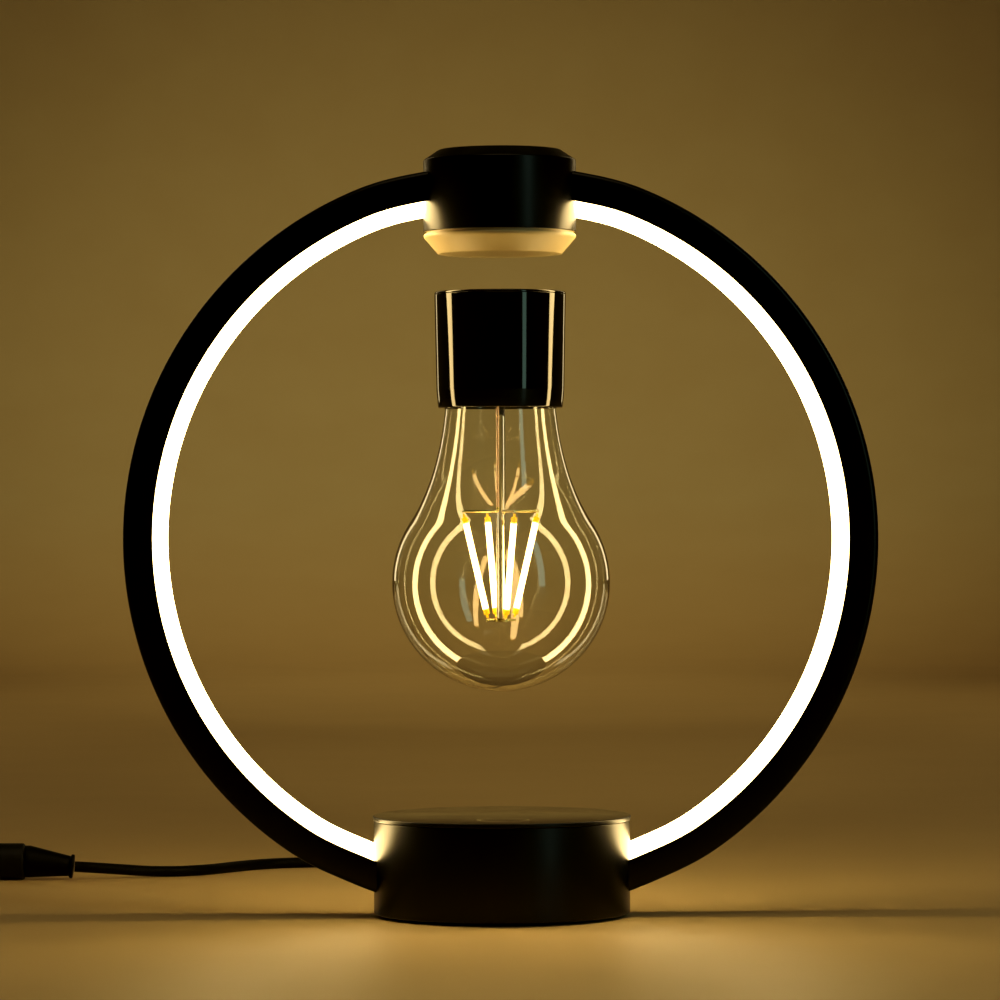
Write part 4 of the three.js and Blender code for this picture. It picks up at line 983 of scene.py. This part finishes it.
def makeWires(facts, bulb, stem):
    # each lead comes down beside the stem, hooks round it and carries an arm to two filaments
    lift = bulb["middle"]
    hookRadius = stem["rodRadius"] + stem["wireGap"] + facts["wire"]
    lastTurn = facts["turn"] - 360 / facts["count"]
    for word, side in sideWords.items():
        build = bmesh.new()

        def at(radius, degrees, height):
            angle = math.radians(degrees)
            return side * radius * math.cos(angle), side * radius * math.sin(angle), lift + height

        lead, arm, steps = facts["leadTurn"], facts["armHeight"], facts["hookSteps"]
        knee = [at(hookRadius, lead, arm + rise) for rise in facts["knee"]]
        hook = [at(hookRadius, lead + (lastTurn - lead) * (i + 1) / steps, arm) for i in range(steps)]
        addTube(build, [at(hookRadius, lead, facts["leadTop"]), *knee, *hook], facts["wire"], sides=12)
        for degrees in (facts["turn"], lastTurn):
            tip = at(facts["topPlace"] + facts["wire"], degrees, arm)
            addTube(build, [at(hookRadius, degrees, arm), tip], facts["wire"], sides=12)
        carrier = finishMesh(f"filamentCarrier{word.title()}", build, brass, sharpDegrees=50)
        settle(carrier, "bulb", f"filament_carrier_{word}")
    build = bmesh.new()
    inner = stem["rodRadius"] + stem["wireGap"]
    outer = inner + facts["hubWall"]
    low = facts["anchorHeight"] - facts["hubHeight"] / 2
    high = low + facts["hubHeight"]
    hub = [(inner, low), (outer, low), (outer, high), (inner, high)]
    turnedMesh(build, hub, lift, sides=32, closed=True)
    for i in range(facts["count"]):
        angle = filamentAngle(facts, i)
        ways = [(reach * math.cos(angle), reach * math.sin(angle), lift + facts["anchorHeight"])
                for reach in (inner + facts["hubWall"] / 2, facts["anchorReach"])]
        addTube(build, ways, facts["wire"], sides=12)
    anchors = finishMesh("anchorWires", build, brass, sharpDegrees=50)
    settle(anchors, "bulb", "anchor_wires")


makeGlass(bulbFacts)
makeCap(bulbFacts)
makeStem(stemFacts, bulbFacts)
makeFilaments(filamentFacts, bulbFacts)
makeWires(filamentFacts, bulbFacts, stemFacts)
print("bulb made")


# Pieces that keep their solid and get their finish here
def bothSides(*kinds):
    return [f"{kind}_{word}" for kind in kinds for word in sideWords]


keptFinishes = [
    (iron, ["base_weight", "magnet_core"]),
    (nylon, ["base_plate", "coil_bobbin", "magnet_holder", "neck_collar",
             *bothSides("lower_ring_clamp", "upper_ring_clamp")]),
    (zinc, [*(f"housing_screw_{i}" for i in range(1, 5)),
            *bothSides("lower_ring_screw", "upper_ring_screw")]),
    (nickel, ["float_magnet", "socket_pin"]),
    (copper, ["coil_winding", "transmitter_coil", "receiver_coil"]),
    (ferriteGrey, ["transmitter_ferrite"]),
    (mask, ["touch_sensor_board", "driver_board", "hall_sensor_board", "module_board", "receiver_board"]),
    (strip, bothSides("led_strip")),
]
for finish, names in keptFinishes:
    for name in names:
        mesh = nodes[name].data
        mesh.materials.clear()
        mesh.materials.append(finish)
print("kept pieces finished")


# Studio: a pale floor that sweeps up into a wall all round, in dim warm light, with one tall window
studioFacts = {
    "floorRadius": 2700, "sweep": 800, "wallHeight": 1600, "fadeHeight": 120,
    "table": ("#e2c692", "#eacd9a"), "wall": ("#e1cfa1", "#e9daae"),
    "roomColour": "#e0b25a", "roomStrength": 0.03,
    "blackLevel": 0.0015, "toe": [(0.03, 0.023), (0.09, 0.085), (0.17, 0.17)],
}


def paleFloor(facts):
    # matt painted board, barely clouded, warmer at the table than up the wall
    material, shader = startMaterial("palePaintedBoard", "#e5d3a6", {"Roughness": 0.5, "IOR": 1.5})
    cloud = cloudyPattern(material, 60, 3.0)
    place = addNode(material, "ShaderNodeTexCoord")
    height = addNode(material, "ShaderNodeSeparateXYZ", links={"Vector": place.outputs["Object"]})
    upWall = addNode(material, "ShaderNodeMapRange", values={"From Max": facts["fadeHeight"] * mm},
                     links={"Value": height.outputs["Z"]})
    shades = []
    for thin, thick in (facts["table"], facts["wall"]):
        shade = addNode(material, "ShaderNodeMix", settings={"data_type": "RGBA"},
                        values={6: linearColour(thin), 7: linearColour(thick)}, links={"Factor": cloud})
        shades.append(shade.outputs[2])
    paint = addNode(material, "ShaderNodeMix", settings={"data_type": "RGBA"},
                    links={"Factor": upWall.outputs["Result"], 6: shades[0], 7: shades[1]})
    material.node_tree.links.new(paint.outputs[2], shader.inputs["Base Color"])
    varyFinish(material, shader, cloudyPattern(material, 1.5), relief=(0.02, 0.2))
    return material


def makeRoom(facts):
    wide = facts["floorRadius"]
    outline = softOutline([(0, 0, 0), (wide, 0, facts["sweep"]), (wide, facts["wallHeight"], 0)], steps=16)
    turned("studioSweep", outline, paleFloor(facts), sides=96, closed=False)
    world = bpy.data.worlds.new("dimRoom")
    world.use_nodes = True
    sky = world.node_tree.nodes["Background"]
    sky.inputs["Color"].default_value = linearColour(facts["roomColour"])
    sky.inputs["Strength"].default_value = facts["roomStrength"]
    bpy.context.scene.world = world


# Lights: a turn is counted from the camera's side, a size is width by height, turn and cone in degrees
warmLight = "#ffe2a8"
panelLights = {
    "tallWindow": {"turn": 42, "away": 1500, "middle": 620, "size": (200, 1300), "power": 1.7,
                   "colour": "#c0eed6"},
    "leftStrip": {"turn": -152, "away": 1500, "middle": 560, "size": (170, 1000), "power": 1.2},
    "rightStrip": {"turn": 152, "away": 1500, "middle": 560, "size": (170, 1000), "power": 1.2},
    "softTop": {"place": (0, -250, 900), "aim": (0, 0, 0), "size": (500, 500), "power": 0.74},
    "wallWash": {"place": (0, 900, 1500), "aim": (0, 2100, 200), "size": (900, 900), "power": 0.3},
}
panelAim = (0, 0, 120)
spotLights = {
    "wallSpot": {"place": (0, 700, 760), "aim": (5, 2300, 90), "cone": 48, "power": 34.5, "radius": 260},
    "tableSpot": {"place": (30, -900, 900), "aim": (30, 670, 0), "cone": 13, "power": 11.5, "radius": 40},
    "farSpot": {"place": (20, 300, 900), "aim": (20, 1350, 0), "cone": 26, "power": 6.0, "radius": 60},
}


def hangLight(name, data, place, aim, facts):
    data.energy = facts["power"]
    data.color = linearColour(facts.get("colour", warmLight))[:3]
    light = bpy.data.objects.new(name, data)
    light.location = [value * mm for value in place]
    light.rotation_euler = (Vector(aim) - Vector(place)).to_track_quat("-Z", "Y").to_euler()
    bpy.context.scene.collection.objects.link(light)


def makeLights():
    for name, facts in panelLights.items():
        data = bpy.data.lights.new(name, "AREA")
        data.shape = "RECTANGLE"
        data.size, data.size_y = [side * mm for side in facts["size"]]
        place = facts.get("place")
        if place is None:
            turn = math.radians(facts["turn"])
            place = (facts["away"] * math.sin(turn), -facts["away"] * math.cos(turn), facts["middle"])
        hangLight(name, data, place, facts.get("aim", panelAim), facts)
    for name, facts in spotLights.items():
        # soft round pools of light on the table and the wall behind it
        data = bpy.data.lights.new(name, "SPOT")
        data.spot_size = math.radians(facts["cone"])
        data.spot_blend = 1.0
        data.shadow_soft_size = facts["radius"] * mm
        hangLight(name, data, facts["place"], facts["aim"], facts)


def setFilm(facts):
    # the plain display curve, with the deepest blacks held down as a camera holds them
    view = bpy.context.scene.view_settings
    view.view_transform = "Standard"
    view.use_curve_mapping = True
    view.curve_mapping.black_level = [facts["blackLevel"]] * 3
    toe = view.curve_mapping.curves[3]
    for place, height in facts["toe"]:
        toe.points.new(place, height)
    view.curve_mapping.update()


makeRoom(studioFacts)
makeLights()
setFilm(studioFacts)
print("studio ready")
